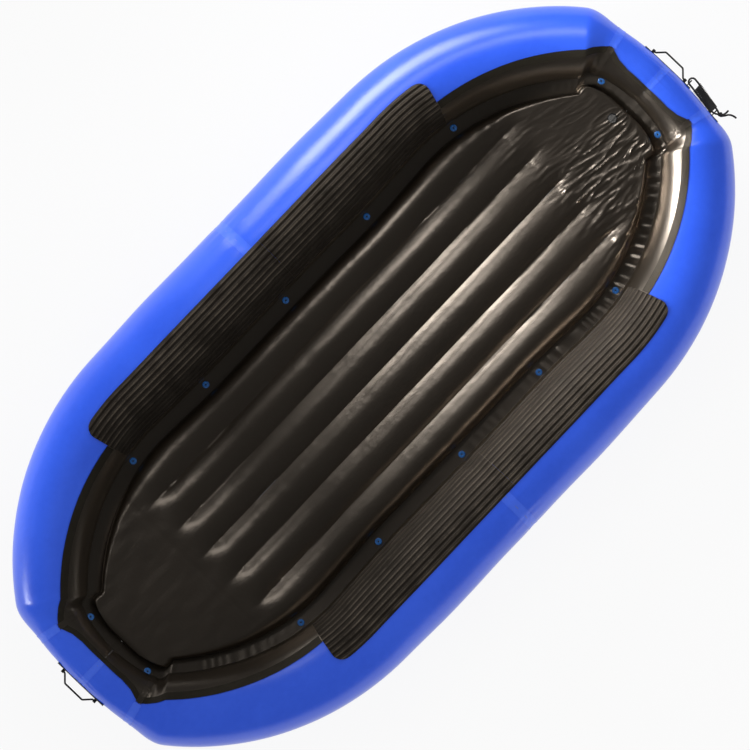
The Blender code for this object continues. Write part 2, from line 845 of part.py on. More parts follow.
def valve_meshes():
    """The three pieces of an inflation valve and the hole it sits in, about +Z out of the fabric."""
    top = clearance * 2 + valve_flange_thickness
    body = turned(
        (
            (valve_seat_radius, -valve_depth),
            (valve_barrel_radius, -valve_depth),
            (valve_barrel_radius, clearance * 2),
            (valve_flange_radius, clearance * 2),
            (valve_flange_radius, top),
            (valve_bore_radius, top),
            (valve_bore_radius, valve_seat_thickness - valve_depth),
            (valve_seat_radius, valve_seat_thickness - valve_depth),
        ),
        valve_sides,
        "valve_body",
    )
    disc_top = -valve_depth - clearance
    button_top = -plunger_button_drop
    plunger = turned(
        (
            (0, disc_top - plunger_disc_thickness),
            (plunger_disc_radius, disc_top - plunger_disc_thickness),
            (plunger_disc_radius, disc_top),
            (plunger_stem_radius, disc_top),
            (plunger_stem_radius, button_top - plunger_button_thickness),
            (plunger_button_radius, button_top - plunger_button_thickness),
            (plunger_button_radius, button_top),
            (0, button_top),
        ),
        valve_sides,
        "valve_plunger",
    )
    under = top + clearance
    cap_body = turned(
        (
            (0, under - cap_spigot_length),
            (cap_spigot_radius, under - cap_spigot_length),
            (cap_spigot_radius, under),
            (cap_radius, under),
            (cap_radius, under + cap_thickness),
            (0, under + cap_thickness),
        ),
        valve_sides,
        "valve_cap_body",
    )
    work = bmesh.new()
    bmesh.ops.create_cube(work, size=1)
    size = (cap_grip_length, cap_grip_width, cap_grip_height * 2)
    bmesh.ops.scale(work, vec=size, verts=work.verts)
    bmesh.ops.translate(work, vec=(0, 0, under + cap_thickness), verts=work.verts)
    grip = cutter("valve_cap_grip", mesh_from(work, "valve_cap_grip"))
    blank = cutter("valve_cap_blank", cap_body)
    combine(blank, grip, "UNION")
    cap = settled_mesh(blank, "valve_cap")
    bpy.data.objects.remove(grip, do_unlink=True)
    hole = turned(
        (
            (0, -overrun),
            (valve_barrel_radius + clearance, -overrun),
            (valve_barrel_radius + clearance, overrun),
            (0, overrun),
        ),
        valve_sides,
        "valve_hole",
    )
    return body, plunger, cap, hole


def valves(body, plunger, cap, finishes):
    """Five inflation valves: one for each chamber and one for the floor."""
    seats = {"floor": floor_valve_seat()}
    for side, side_name in ((1, "port"), (-1, "starboard")):
        for end_sign, end_name in ((1, "bow"), (-1, "stern")):
            seats[f"{side_name}_{end_name}"] = tube_valve_seat(side, end_sign)
    for where, seat in seats.items():
        place(f"valve_body_{where}", body, finishes[0], seat)
        place(f"valve_plunger_{where}", plunger, finishes[1], seat)
        place(f"valve_cap_{where}", cap, finishes[2], seat)


def rounded_route(corners, radius, steps):
    """A polyline with each inner corner rounded."""
    points = [corners[0]]
    for before, corner, after in zip(corners, corners[1:], corners[2:]):
        inward, outward = (before - corner).normalized(), (after - corner).normalized()
        half_turn = inward.angle(outward) / 2
        back = radius / math.tan(half_turn)
        centre = corner + (inward + outward).normalized() * radius / math.sin(half_turn)
        start = corner + inward * back - centre
        end = corner + outward * back - centre
        turn = start.angle(end)
        for k in range(steps + 1):
            share = k / steps
            mix = math.sin((1 - share) * turn) * start + math.sin(share * turn) * end
            points.append(centre + mix / math.sin(turn))
    return points + [corners[-1]]


def rod(name, points, radius, finish, origin, resolution, thick=None):
    """A round rod or cord along a list of points; thick gives a wider stretch's radius and rule."""
    data = bpy.data.curves.new(name, "CURVE")
    data.dimensions = "3D"
    data.bevel_depth = radius
    data.bevel_resolution = resolution
    data.use_fill_caps = True
    spline = data.splines.new("POLY")
    spline.points.add(len(points) - 1)
    for point, target in zip(spline.points, points):
        point.co = (*(target - origin), 1)
        point.radius = thick[0] / radius if thick and thick[1](target) else 1
    spline.use_smooth = True
    data.materials.append(finish)
    node = bpy.data.objects.new(name, data)
    bpy.context.scene.collection.objects.link(node)
    node.location = origin
    return node


def block(name, low, high):
    """A box cutter or blank between two corners."""
    work = bmesh.new()
    bmesh.ops.create_cube(work, size=1)
    bmesh.ops.scale(work, vec=[b - a for a, b in zip(low, high)], verts=work.verts)
    bmesh.ops.translate(work, vec=[(a + b) / 2 for a, b in zip(low, high)], verts=work.verts)
    return cutter(name, mesh_from(work, name))


def bar(name, centre, axis, radius, length):
    """A round bar blank about a centre, along Y or Z."""
    mesh = turned(((0, -length / 2), (radius, -length / 2), (radius, length / 2), (0, length / 2)), eyelet_sides, name)
    turn = Matrix.Rotation(math.pi / 2, 4, "X") if axis == "Y" else Matrix.Identity(4)
    return cutter(name, mesh, Matrix.Translation(centre) @ turn)


def halved(low, high, beyond):
    """Bisects to the place where beyond stops being true."""
    for _ in range(search_steps):
        middle = (low + high) / 2
        if beyond(middle):
            low = middle
        else:
            high = middle
    return (low + high) / 2


def end_face(y, z, end_sign, lift):
    """The point of the end tube's outer face at a distance off the middle and a height."""
    side = 1 if y > 0 else -1

    def at_height(run):
        column = halved(top_column, last_column, lambda c: hull_point(end_sign * run, side, c, lift).z > z)
        return hull_point(end_sign * run, side, column, lift)

    return at_height(halved(curve_end, bow_centre, lambda run: abs(at_height(run).y) > abs(y)))


def handle_axis(end_sign):
    """The middle of a handle's hinge line."""
    level = hull_point(bow_centre, 1, handle_first_column + 1, 0).z
    foot = end_face(handle_foot_offset, level, end_sign, clearance + handle_patch_thickness)
    return Vector((foot.x + end_sign * handle_boss_radius, 0, level))


def staple(node, name, y, z, reach):
    """A stiff loop that stands off a patch on the bow, its bar upright."""
    foot = end_face(y, z, 1, clearance + handle_patch_thickness)
    centre = foot + Vector((reach, 0, 0))
    post = bar(f"{name}_post", centre, "Z", staple_bar_radius, 2 * (staple_half_height + staple_leg_half))
    combine(node, post, "UNION")
    for sign in (-1, 1):
        level = z + sign * staple_half_height
        root = end_face(y, level, 1, clearance + handle_patch_thickness * (1 - staple_root_share))
        low = (root.x, y - staple_leg_half, level - staple_leg_half)
        high = (centre.x, y + staple_leg_half, level + staple_leg_half)
        combine(node, block(f"{name}_leg_{'upper' if sign > 0 else 'lower'}", low, high), "UNION")


def handles(patch_finish, rod_finish):
    """A moulded carry handle on the outer face of each end: a patch with two ears, and a bail in them."""
    columns = range(handle_first_column, handle_last_column + 1)
    for end_sign, end_name in ((1, "bow"), (-1, "stern")):
        start = bow_centre - handle_patch_half_length
        places = end_places(start, end_sign)
        name = f"handle_patch_{end_name}"
        node = laid_sheet(name, places, columns, clearance, handle_patch_thickness, patch_finish)
        axis = handle_axis(end_sign)
        ear_middle = handle_foot_offset + handle_pin_length - handle_boss_length / 2
        for side in (1, -1):
            centre = axis + Vector((0, side * ear_middle, 0))
            tag = f"{name}_ear_{'port' if side > 0 else 'starboard'}"
            combine(node, bar(tag, centre, "Y", handle_boss_radius, handle_boss_length), "UNION")
            lift = clearance + handle_patch_thickness * ear_root_share
            root = end_face(side * ear_middle, axis.z, end_sign, lift)
            ends = sorted((root.x, axis.x))
            half = handle_boss_length / 2
            low = (ends[0], centre.y - half, axis.z - handle_boss_radius)
            high = (ends[1], centre.y + half, axis.z + handle_boss_radius)
            combine(node, block(f"{tag}_foot", low, high), "UNION")
        if end_sign > 0:
            staple(node, f"{name}_staple", -bow_staple_offset, axis.z, staple_reach)
        bore = bar(f"{name}_bore", axis, "Y", handle_rod_radius + clearance, 2 * (ear_middle + handle_boss_length))
        reach = handle_foot_offset + handle_pin_length
        combine(node, bore, "DIFFERENCE")
        route = (
            (0, -reach),
            (0, -handle_foot_offset),
            (handle_reach, -handle_bar_half),
            (handle_reach, handle_bar_half),
            (0, handle_foot_offset),
            (0, reach),
        )
        corners = [axis + Vector((end_sign * out, y, 0)) for out, y in route]
        points = rounded_route(corners, handle_corner_radius, 3)
        grip = (handle_grip_radius, lambda p: abs(p.y) < handle_bar_half - handle_corner_radius)
        rod(f"handle_bail_{end_name}", points, handle_rod_radius, rod_finish, axis, 2, grip)


def line_anchor(finish):
    """A small patch with a staple, near the starboard corner of the bow, that the bow line ties to."""
    columns = range(handle_first_column, handle_last_column + 1)
    first, last = anchor_stations
    middle = hull_point(stations[(first + last) // 2], -1, handle_first_column + 1, 0)
    node = laid_sheet(
        "line_anchor",
        side_places(stations[first], stations[last], -1),
        columns,
        clearance,
        handle_patch_thickness,
        finish,
    )
    staple(node, "line_anchor_staple", middle.y, middle.z, anchor_reach)


def bow_line(finish):
    """A short doubled line between the bow handle's staple and the anchor, its two ends hanging free."""
    points = [Vector(point) for point in bow_line_points]
    rod("bow_line", points, cord_diameter / 2, finish, points[0], 2)


def build():
    cleared_scene()
    hull_blue = material("tube_blue", (0.035, 0.115, 0.80), 0.32)
    wrap_black = material("wrap_black", (0.018, 0.015, 0.012), 0.38)
    pad_black = material("pad_black", (0.016, 0.014, 0.012), 0.55)
    floor_black = material("floor_black", (0.022, 0.019, 0.015), 0.36)
    web_grey = material("web_grey", (0.25, 0.25, 0.26), 0.6)
    eyelet_blue = material("eyelet_blue", (0.07, 0.25, 0.42), 0.35)
    valve_black = material("valve_black", (0.02, 0.02, 0.022), 0.45)
    valve_white = material("valve_white", (0.6, 0.6, 0.58), 0.4)
    cap_grey = material("cap_grey", (0.33, 0.32, 0.30), 0.45)
    handle_black = material("handle_black", (0.015, 0.014, 0.013), 0.5)
    line_black = material("line_black", (0.02, 0.02, 0.022), 0.8)
    body, plunger, cap, hole = valve_meshes()
    chambers(hull_blue, hole)
    baffles(web_grey)
    skirts(wrap_black)
    wear_pads(pad_black)
    floor(floor_black, hole)
    floor_beams(web_grey)
    flanges(wrap_black)
    drain_eyelets(eyelet_blue)
    valves(body, plunger, cap, (valve_black, valve_white, cap_grey))
    handles(handle_black, handle_black)
    line_anchor(handle_black)
    bow_line(line_black)


build()
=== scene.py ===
"""The finished look of a small self-bailing whitewater raft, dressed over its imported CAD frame.

Metres throughout, on the frame's axes: +X is the bow, +Y is port, +Z is up, and the raft lies on Z = 0.
"""

import bisect
import math

import bmesh
import bpy
from mathutils import Matrix, Vector, noise


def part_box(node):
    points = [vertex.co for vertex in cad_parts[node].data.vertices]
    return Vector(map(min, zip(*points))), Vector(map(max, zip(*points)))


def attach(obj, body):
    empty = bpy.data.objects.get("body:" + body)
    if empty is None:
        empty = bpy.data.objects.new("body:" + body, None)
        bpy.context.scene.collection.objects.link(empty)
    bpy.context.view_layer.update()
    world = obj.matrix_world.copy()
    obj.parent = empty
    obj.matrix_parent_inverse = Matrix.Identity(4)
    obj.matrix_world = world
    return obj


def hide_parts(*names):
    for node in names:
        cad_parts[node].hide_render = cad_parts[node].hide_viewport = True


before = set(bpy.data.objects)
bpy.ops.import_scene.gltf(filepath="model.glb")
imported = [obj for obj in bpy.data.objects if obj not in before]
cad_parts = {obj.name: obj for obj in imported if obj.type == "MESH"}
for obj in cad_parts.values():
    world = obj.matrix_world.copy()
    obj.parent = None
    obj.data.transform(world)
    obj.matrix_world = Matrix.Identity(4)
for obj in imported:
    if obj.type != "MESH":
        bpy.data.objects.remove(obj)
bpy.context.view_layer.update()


# The studio. The camera looks almost straight down, turned so that the bow points to the upper right, on a
# white floor that fades into a white surround. Three soft lamps stand off the port side and aim at the bow
# half: a low one ahead, a low one astern, and a high one that reaches the floor over the port tube.

sensor_width = 36
frame_pixels = 750
focal_pixels = 2095.1
camera_place = Vector((-0.357, -0.081, 9.0))
camera_right = Vector((0.68889, -0.72456, 0.02114))
camera_down = Vector((-0.72373, -0.68915, -0.03584))
camera_data = bpy.data.cameras.new("camera")
camera_data.sensor_width = sensor_width
camera_data.lens = sensor_width * focal_pixels / frame_pixels
camera_data.clip_end = 100
camera = bpy.data.objects.new("camera", camera_data)
bpy.context.scene.collection.objects.link(camera)
camera_back = camera_right.cross(-camera_down).normalized()
camera_turn = Matrix((camera_right.normalized(), camera_back.cross(camera_right), camera_back)).transposed()
camera.matrix_world = Matrix.Translation(camera_place) @ camera_turn.to_4x4()
bpy.context.scene.camera = camera
bpy.context.scene.view_settings.view_transform = "Standard"


class Value:
    """A node's output. Arithmetic on it adds Math nodes."""

    def __init__(self, finish, socket):
        self.finish = finish
        self.socket = socket

    def math(self, operation, *values):
        sockets = dict(enumerate(values))
        return self.finish.node("ShaderNodeMath", {"operation": operation}, sockets)

    def __add__(self, other):
        return self.math("ADD", self, other)

    def __radd__(self, other):
        return self.math("ADD", other, self)

    def __sub__(self, other):
        return self.math("SUBTRACT", self, other)

    def __rsub__(self, other):
        return self.math("SUBTRACT", other, self)

    def __mul__(self, other):
        return self.math("MULTIPLY", self, other)

    def __rmul__(self, other):
        return self.math("MULTIPLY", other, self)

    def __pow__(self, other):
        return self.math("POWER", self, other)

    def absolute(self):
        return self.math("ABSOLUTE", self)

    def wave(self):
        return self.math("SINE", self)

    def between(self, low, high):
        """0 below low, 1 above high, and a smooth rise from one to the other."""
        sockets = {"Value": self, "From Min": low, "From Max": high}
        return self.finish.node("ShaderNodeMapRange", {"interpolation_type": "SMOOTHSTEP"}, sockets)


class Finish:
    """A material, or the world, that is built up node by node."""

    def __init__(self, name, owner=None):
        self.material = owner or bpy.data.materials.new(name)
        self.material.use_nodes = True
        self.tree = self.material.node_tree
        self.tree.nodes.clear()

    def node(self, kind, settings, sockets, output=0):
        made = self.tree.nodes.new(kind)
        for name, value in settings.items():
            setattr(made, name, value)
        for name, value in sockets.items():
            if isinstance(value, Value):
                self.tree.links.new(value.socket, made.inputs[name])
            else:
                made.inputs[name].default_value = value
        return Value(self, made.outputs[output]) if made.outputs else made

    def noise(self, coordinates, scale, detail=2, roughness=0.5):
        sockets = {"Vector": coordinates, "Scale": scale, "Detail": detail, "Roughness": roughness}
        return self.node("ShaderNodeTexNoise", {}, sockets)

    def stretched(self, coordinates, scale):
        return self.node("ShaderNodeMapping", {}, {"Vector": coordinates, "Scale": scale})

    def mixed(self, share, first, second):
        sockets = {0: share, 6: first, 7: second}
        return self.node("ShaderNodeMix", {"data_type": "RGBA"}, sockets, 2)

    def surface(self, shader):
        self.node("ShaderNodeOutputMaterial", {}, {"Surface": shader})

    def principled(self, sockets):
        self.surface(self.node("ShaderNodeBsdfPrincipled", {}, sockets))


def seen_directly(finish):
    """1 where the camera, a gloss or clear plastic looks at the surface, 0 where it only gives light."""
    path = finish.tree.nodes.new("ShaderNodeLightPath")
    kinds = ("Is Camera Ray", "Is Glossy Ray", "Is Transmission Ray")
    camera_ray, glossy_ray, clear_ray = (Value(finish, path.outputs[kind]) for kind in kinds)
    return (camera_ray + glossy_ray + clear_ray).between(0, 1)


white_light = (1, 1, 1, 1)
surround = Finish("surround", bpy.context.scene.world or bpy.data.worlds.new("surround"))
bpy.context.scene.world = surround.material
sky = surround.node("ShaderNodeTexCoord", {}, {}, 0)
ahead = surround.node("ShaderNodeSeparateXYZ", {}, {0: sky}, 0)
to_port = surround.node("ShaderNodeSeparateXYZ", {}, {0: sky}, 1)
height = surround.node("ShaderNodeSeparateXYZ", {}, {0: sky}, 2)
overhead = height.between(0.05, 0.6)
low_down = (1 - height.between(0.1, 0.75)) ** 2
bright_side = (to_port - ahead.absolute() * 0.9).between(0.3, 0.9) * low_down
sky_light = {"Color": white_light, "Strength": 0.9 - overhead * 0.3}
sky_gloss = {"Color": white_light, "Strength": bright_side * 0.4 + 0.03}
soft = surround.node("ShaderNodeBackground", {}, sky_light)
white = surround.node("ShaderNodeBackground", {}, {"Color": white_light, "Strength": 1})
clear = surround.node("ShaderNodeBackground", {}, sky_gloss)
seen = surround.node("ShaderNodeMixShader", {}, {0: seen_directly(surround), 1: soft, 2: clear})
by_camera = surround.node("ShaderNodeLightPath", {}, {}, 0)
both = surround.node("ShaderNodeMixShader", {}, {0: by_camera, 1: seen, 2: white})
surround.node("ShaderNodeOutputWorld", {}, {"Surface": both})

studio_floor = Finish("studio_floor")
matt = studio_floor.node("ShaderNodeBsdfDiffuse", {}, {"Color": (0.86, 0.86, 0.86, 1)})
glow = studio_floor.node("ShaderNodeEmission", {}, {"Color": white_light, "Strength": 1})
glow_share = seen_directly(studio_floor) * 0.9
studio_floor.surface(studio_floor.node("ShaderNodeMixShader", {}, {0: glow_share, 1: matt, 2: glow}))
ground = bmesh.new()
bmesh.ops.create_grid(ground, x_segments=1, y_segments=1, size=40)
ground_mesh = bpy.data.meshes.new("studio_floor")
ground.to_mesh(ground_mesh)
ground.free()
ground_mesh.materials.append(studio_floor.material)
floor_stage = bpy.data.objects.new("studio_floor", ground_mesh)
bpy.context.scene.collection.objects.link(floor_stage)
floor_stage.location.z = -0.001


def lamp(name, place, target, size, power, spread):
    data = bpy.data.lights.new(name, "AREA")
    data.shape = "RECTANGLE"
    data.size, data.size_y = size
    data.energy = power
    data.spread = math.radians(spread)
    stood = bpy.data.objects.new(name, data)
    bpy.context.scene.collection.objects.link(stood)
    stood.location = place
    stood.rotation_euler = (Vector(target) - Vector(place)).to_track_quat("-Z", "Y").to_euler()


lamp("key", (1.6, 3.9, 1.8), (1.4, 0, 0.3), size=(2.1, 1.9), power=11, spread=44)
lamp("stern_side", (-3.6, 3.5, 2.2), (1.4, -0.55, 0.35), size=(2.0, 2.3), power=12, spread=22)
lamp("high", (1.7, 2.2, 3.7), (1.0, 0, 0.2), size=(2.4, 1.0), power=4, spread=70)


# The bow line. A short length of limp 8 mm braided cord, doubled through a staple beside the bow handle and
# tied to a second one on the starboard bow, with its ends left free. The doubled part is bound with close
# turns of thin twine, and the strands meet in a small round knot.

cord_diameter = 0.008
line_route = (
    (1.7900, -0.3045, 0.4225),
    (1.7790, -0.3050, 0.4225),
    (1.7680, -0.3030, 0.4222),
    (1.7575, -0.2965, 0.4218),
    (1.7505, -0.2860, 0.4212),
    (1.7440, -0.2750, 0.4200),
    (1.7412, -0.2620, 0.4175),
    (1.7430, -0.2450, 0.4130),
    (1.7465, -0.2200, 0.4100),
    (1.7490, -0.1900, 0.4120),
    (1.7520, -0.1600, 0.4180),
    (1.7545, -0.1350, 0.4260),
    (1.7555, -0.1155, 0.4315),
    (1.7576, -0.1075, 0.4315),
    (1.7635, -0.1016, 0.4315),
    (1.7715, -0.0995, 0.4315),
    (1.7795, -0.1016, 0.4315),
    (1.7854, -0.1075, 0.4315),
    (1.7875, -0.1155, 0.4315),
    (1.7860, -0.1380, 0.4260),
    (1.7825, -0.1620, 0.4180),
    (1.7775, -0.1900, 0.4130),
    (1.7725, -0.2200, 0.4110),
    (1.7670, -0.2450, 0.4120),
    (1.7630, -0.2660, 0.4135),
    (1.7585, -0.2800, 0.4130),
    (1.7555, -0.2920, 0.4115),
    (1.7600, -0.3035, 0.4100),
    (1.7700, -0.3105, 0.4080),
    (1.7800, -0.3160, 0.4050),
    (1.7890, -0.3250, 0.4000),
    (1.7950, -0.3370, 0.3945),
    (1.7985, -0.3500, 0.3880),
)
line_length = sum((Vector(b) - Vector(a)).length for a, b in zip(line_route, line_route[1:]))


def strand(name, route, radius, roundness):
    """A round strand that follows a route."""
    data = bpy.data.curves.new(name, "CURVE")
    data.dimensions = "3D"
    data.bevel_depth = radius
    data.bevel_resolution = roundness
    data.use_fill_caps = True
    spline = data.splines.new("POLY")
    spline.points.add(len(route) - 1)
    for point, place in zip(spline.points, route):
        point.co = (*place, 1)
    spline.use_smooth = True
    return bpy.data.objects.new(name, data)


line_cord = strand("bow_line_cord", line_route, cord_diameter / 2, 4)
bpy.context.scene.collection.objects.link(line_cord)

# The twine's middle, and half the width of what it is wound round, from the staple to the anchor.
binding_stations = (
    (1.7700, -0.145, 0.4215, 0.0155),
    (1.7640, -0.188, 0.4128, 0.0145),
    (1.7593, -0.220, 0.4105, 0.0130),
    (1.7548, -0.245, 0.4126, 0.0122),
    (1.7525, -0.258, 0.4150, 0.0112),
)
twine_radius = 0.0021
binding_turns = 26
turn_points = 14


def bound_point(count):
    """A point on the twine, count turns on from the first."""
    place = count / binding_turns * (len(binding_stations) - 1)
    k = min(int(place), len(binding_stations) - 2)
    x, y, z, half = (
        first + (second - first) * (place - k)
        for first, second in zip(binding_stations[k], binding_stations[k + 1])
    )
    turn = 2 * math.pi * count
    round_cord = cord_diameter / 2 + twine_radius
    return x + (half + round_cord) * math.cos(turn), y, z + round_cord * math.sin(turn)


twine_route = [bound_point(k / turn_points) for k in range(binding_turns * turn_points + 1)]
knot_size = 0.0025
knot_height = 1.2
knot_points = 60
knot_centre = Vector((1.7572, -0.2935, 0.4145))
knot_route = []
for k in range(knot_points + 1):
    t = 2 * math.pi * k / knot_points
    across, along = math.sin(t) + 2 * math.sin(2 * t), math.cos(t) - 2 * math.cos(2 * t)
    knot_route.append(knot_centre + Vector((across, along, -knot_height * math.sin(3 * t))) * knot_size)
on_line = []
for name, route, radius in (
    ("bow_line_twine", twine_route, twine_radius),
    ("bow_line_knot", knot_route, cord_diameter / 2),
):
    drawn = strand(f"{name}_curve", route, radius, 3)
    mesh = bpy.data.meshes.new_from_object(drawn)
    bpy.data.objects.remove(drawn)
    mesh.shade_smooth()
    piece = bpy.data.objects.new(name, mesh)
    bpy.context.scene.collection.objects.link(piece)
    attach(piece, "hull")
    on_line.append(piece)

braid = Finish("black_braid")
braid_place = braid.node("ShaderNodeTexCoord", {}, {}, 3)
strands = braid.noise(braid_place, scale=900, detail=1)
braid_bump = braid.node("ShaderNodeBump", {}, {"Strength": 0.6, "Distance": 0.0006, "Height": strands})
braid_colour = braid.mixed(strands.between(0.35, 0.7), (0.012, 0.012, 0.013, 1), (0.05, 0.048, 0.045, 1))
braid.principled({
    "Base Color": braid_colour,
    "Roughness": 0.75,
    "Normal": braid_bump,
    "Specular IOR Level": 0.3,
})
for piece in (line_cord, *on_line):
    piece.data.materials.clear()
    piece.data.materials.append(braid.material)
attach(line_cord, "hull")
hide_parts("bow_line")
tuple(line_route[0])


# The air chambers. Four tapered tubes of blue coated fabric, cut in panels and glued: straight along the
# sides, bent through a long curve and a tight corner, and rising to a thin bow and stern. Each is pinched a
# little where it meets the next, puckered beside the joint, and flat where a patch or a valve sits on it.

raft_length = 3.49
side_radius = 0.2
shoulder_radius = 0.145
corner_tube_radius = 0.11
end_radius = 0.095
curve_radius = 1.035
curve_angle = math.radians(51.5)
corner_radius = 0.215
corner_end_angle = curve_angle + math.radians(24.5)
side_offset = 1.83 / 2 - side_radius
end_rise = 0.29
attach_angle = math.radians(125)
flat_half_angle = math.radians(9)


def arc_run(radius, start, end):
    """How far forward and inboard an arc goes between two headings."""
    return radius * (math.sin(end) - math.sin(start)), radius * (math.cos(start) - math.cos(end))


curve_forward, curve_inboard = arc_run(curve_radius, 0, curve_angle)
corner_forward, corner_inboard = arc_run(corner_radius, curve_angle, corner_end_angle)
end_offset = side_offset - curve_inboard - corner_inboard
end_arc_radius = end_offset / math.cos(corner_end_angle)
end_forward = arc_run(end_arc_radius, corner_end_angle, math.pi / 2)[0]
straight_half = raft_length / 2 - end_radius - curve_forward - corner_forward - end_forward
taper_start = straight_half - 0.21
curve_end = straight_half + curve_radius * curve_angle
corner_end = curve_end + corner_radius * (corner_end_angle - curve_angle)
seam = corner_end + 0.0225
bow_centre = corner_end + end_arc_radius * (math.pi / 2 - corner_end_angle)
flange_height = side_radius * (math.cos(flat_half_angle) + math.cos(attach_angle))
attach_end = raft_length / 2 - end_radius - end_radius * math.sin(attach_angle)


def eased(value, knots):
    """A smooth curve through (place, value) knots."""
    if value <= knots[0][0]:
        return knots[0][1]
    for k in range(len(knots) - 1):
        (low, first), (high, second) = knots[k], knots[k + 1]
        if value > high:
            continue
        before = knots[max(k - 1, 0)]
        after = knots[min(k + 2, len(knots) - 1)]
        width = high - low
        start_slope = (second - before[1]) / (high - before[0]) if k else 0
        end_slope = (after[1] - first) / (after[0] - low)
        t = (value - low) / width
        hump = (2 * t**3 - 3 * t**2 + 1) * first + (3 * t**2 - 2 * t**3) * second
        return hump + width * ((t**3 - 2 * t**2 + t) * start_slope + (t**3 - t**2) * end_slope)
    return knots[-1][1]


def centre_line(run):
    """Plan position and heading of the tube's centre line at a distance along it from midships."""
    arcs = (
        (curve_radius, 0, curve_angle),
        (corner_radius, curve_angle, corner_end_angle),
        (end_arc_radius, corner_end_angle, math.pi / 2),
    )
    x, y, left, heading = min(run, straight_half), side_offset, run - straight_half, 0
    for radius, start, end in arcs:
        if left <= 0:
            break
        heading = min(start + left / radius, end)
        forward, inboard = arc_run(radius, start, heading)
        x += forward
        y -= inboard
        left -= radius * (end - start)
    return x, y, heading


radius_knots = (
    (taper_start - 0.4, side_radius),
    (taper_start, side_radius),
    (curve_end, shoulder_radius),
    (corner_end, corner_tube_radius),
    (bow_centre, end_radius),
)


def tube_radius(run):
    """The tube's radius at a distance along it from midships."""
    return eased(run, radius_knots)


def rocker(x):
    """Height of the flange, which rises towards both ends."""
    over = max(0, abs(x) - taper_start) / (attach_end - taper_start)
    return flange_height + end_rise * over**2


def ripple(point, scale, seed=0):
    """Smooth noise from -1 to 1."""
    return noise.noise(Vector(point) * scale + Vector((seed * 7.3, seed * 3.1, seed * 5.7)))


def near(distance, width):
    """1 at no distance, and a smooth fall to 0 over about two widths."""
    return math.exp(-((distance / width) ** 2))


def step_up(value, low, high):
    """0 below low, 1 above high, and a smooth rise from one to the other."""
    share = min(1, max(0, (value - low) / (high - low)))
    return share * share * (3 - 2 * share)


handle_seat = (0.13, 0.155)
anchor_seat = (0.038, 0.06)
anchor_to_bow = 0.276
seat_top = (math.radians(70), math.radians(83))
seat_bottom = (math.radians(138), math.radians(152))
seat_dent = 0.0024


def patch_seat(run, side, angle):
    """1 under the handle patches and the line's anchor, and a smooth fall to 0 round them."""
    to_end = bow_centre - abs(run)
    seat = 1 - step_up(to_end, *handle_seat)
    if side < 0 and run > 0:
        seat = max(seat, 1 - step_up(abs(to_end - anchor_to_bow), *anchor_seat))
    return seat * step_up(angle, *seat_top) * (1 - step_up(angle, *seat_bottom))


valve_run = 1.368
valve_angle = math.radians(98)
valve_seat = 0.027
valve_patch = 0.065
valve_dent = 0.0037
valve_pocket = 0.0152
valve_pocket_depth = 0.052
valve_body_middle = 0.0092
wave_height = 0.0012
side_fade = 0.4
inboard_fade = 0.3
pucker_count = 23
pucker_drift = 5
ground_gap = 0.0002
# Each joint's place, and the depth and width of its pinch and the height of its folds.
joint_pinches = (
    (0, 0.0026, 0.034, 0.0011),
    (seam, 0.002, 0.016, 0.0004),
    (bow_centre, 0.0016, 0.024, 0.0008),
)


def cloth_lift(run, side, angle):
    """How far the inflated fabric stands off a perfect tube: slow waves, flat seats, and pinched joints."""
    reach = abs(run)
    side *= min(1, (bow_centre - reach) / side_fade)
    outboard = min(1, max(0, 1 + angle / inboard_fade))
    seat = patch_seat(run, side, angle)
    lift = wave_height * ripple((run * 3.2, side + angle * 0.9, 0.5), 1.6) * (1 - seat) - seat_dent * seat
    along, across = reach - valve_run, (angle - valve_angle) * tube_radius(reach)
    away = math.hypot(along, across)
    if away < valve_patch:
        flat = 1 - max(0, away - valve_seat) / (valve_patch - valve_seat)
        depth = valve_dent - across**2 / (2 * tube_radius(reach)) - along**2 / (2 * curve_radius)
        lift = lift * (1 - flat) - max(0, depth) * flat * flat * (3 - 2 * flat)
    for place, depth, width, fold in joint_pinches:
        gap = reach - place
        folds = math.sin(angle * pucker_count + pucker_drift * ripple((angle * 2, side, place), 1.3))
        lift -= depth * near(gap, width) * (outboard if place == seam else 1)
        lift += fold * folds * near(gap, width * 2.4) * (1 - near(gap, width * 0.5))
    return lift


def on_tube(run, side, angle, lift):
    """A point at a distance along the tubes from midships (plus is the bow) and an angle round them
    (0 is the top, plus is outboard), on the port side or the starboard one."""
    x, y, heading = centre_line(min(abs(run), bow_centre))
    radius = tube_radius(min(abs(run), bow_centre))
    base = rocker(x - radius * math.sin(attach_angle) * math.sin(heading)) - radius * math.cos(attach_angle)
    full = radius + lift + cloth_lift(run, side, angle)
    out = full * math.sin(angle)
    up = max(full * math.cos(angle), -(radius - lift) * math.cos(flat_half_angle))
    over_x = math.copysign(1, run) * (x + out * math.sin(heading))
    return Vector((over_x, side * (y + out * math.cos(heading)), max(ground_gap, base + up)))


def riding_piece(name, work, finish, sharp_angle=None):
    """Makes a bmesh a smooth piece that rides on the hull, creased where it turns by more than an angle."""
    mesh = bpy.data.meshes.new(name)
    work.to_mesh(mesh)
    work.free()
    mesh.shade_smooth()
    if sharp_angle:
        mesh.set_sharp_from_angle(angle=math.radians(sharp_angle))
    mesh.materials.append(finish.material)
    made = bpy.data.objects.new(name, mesh)
    bpy.context.scene.collection.objects.link(made)
    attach(made, "hull")
    return made


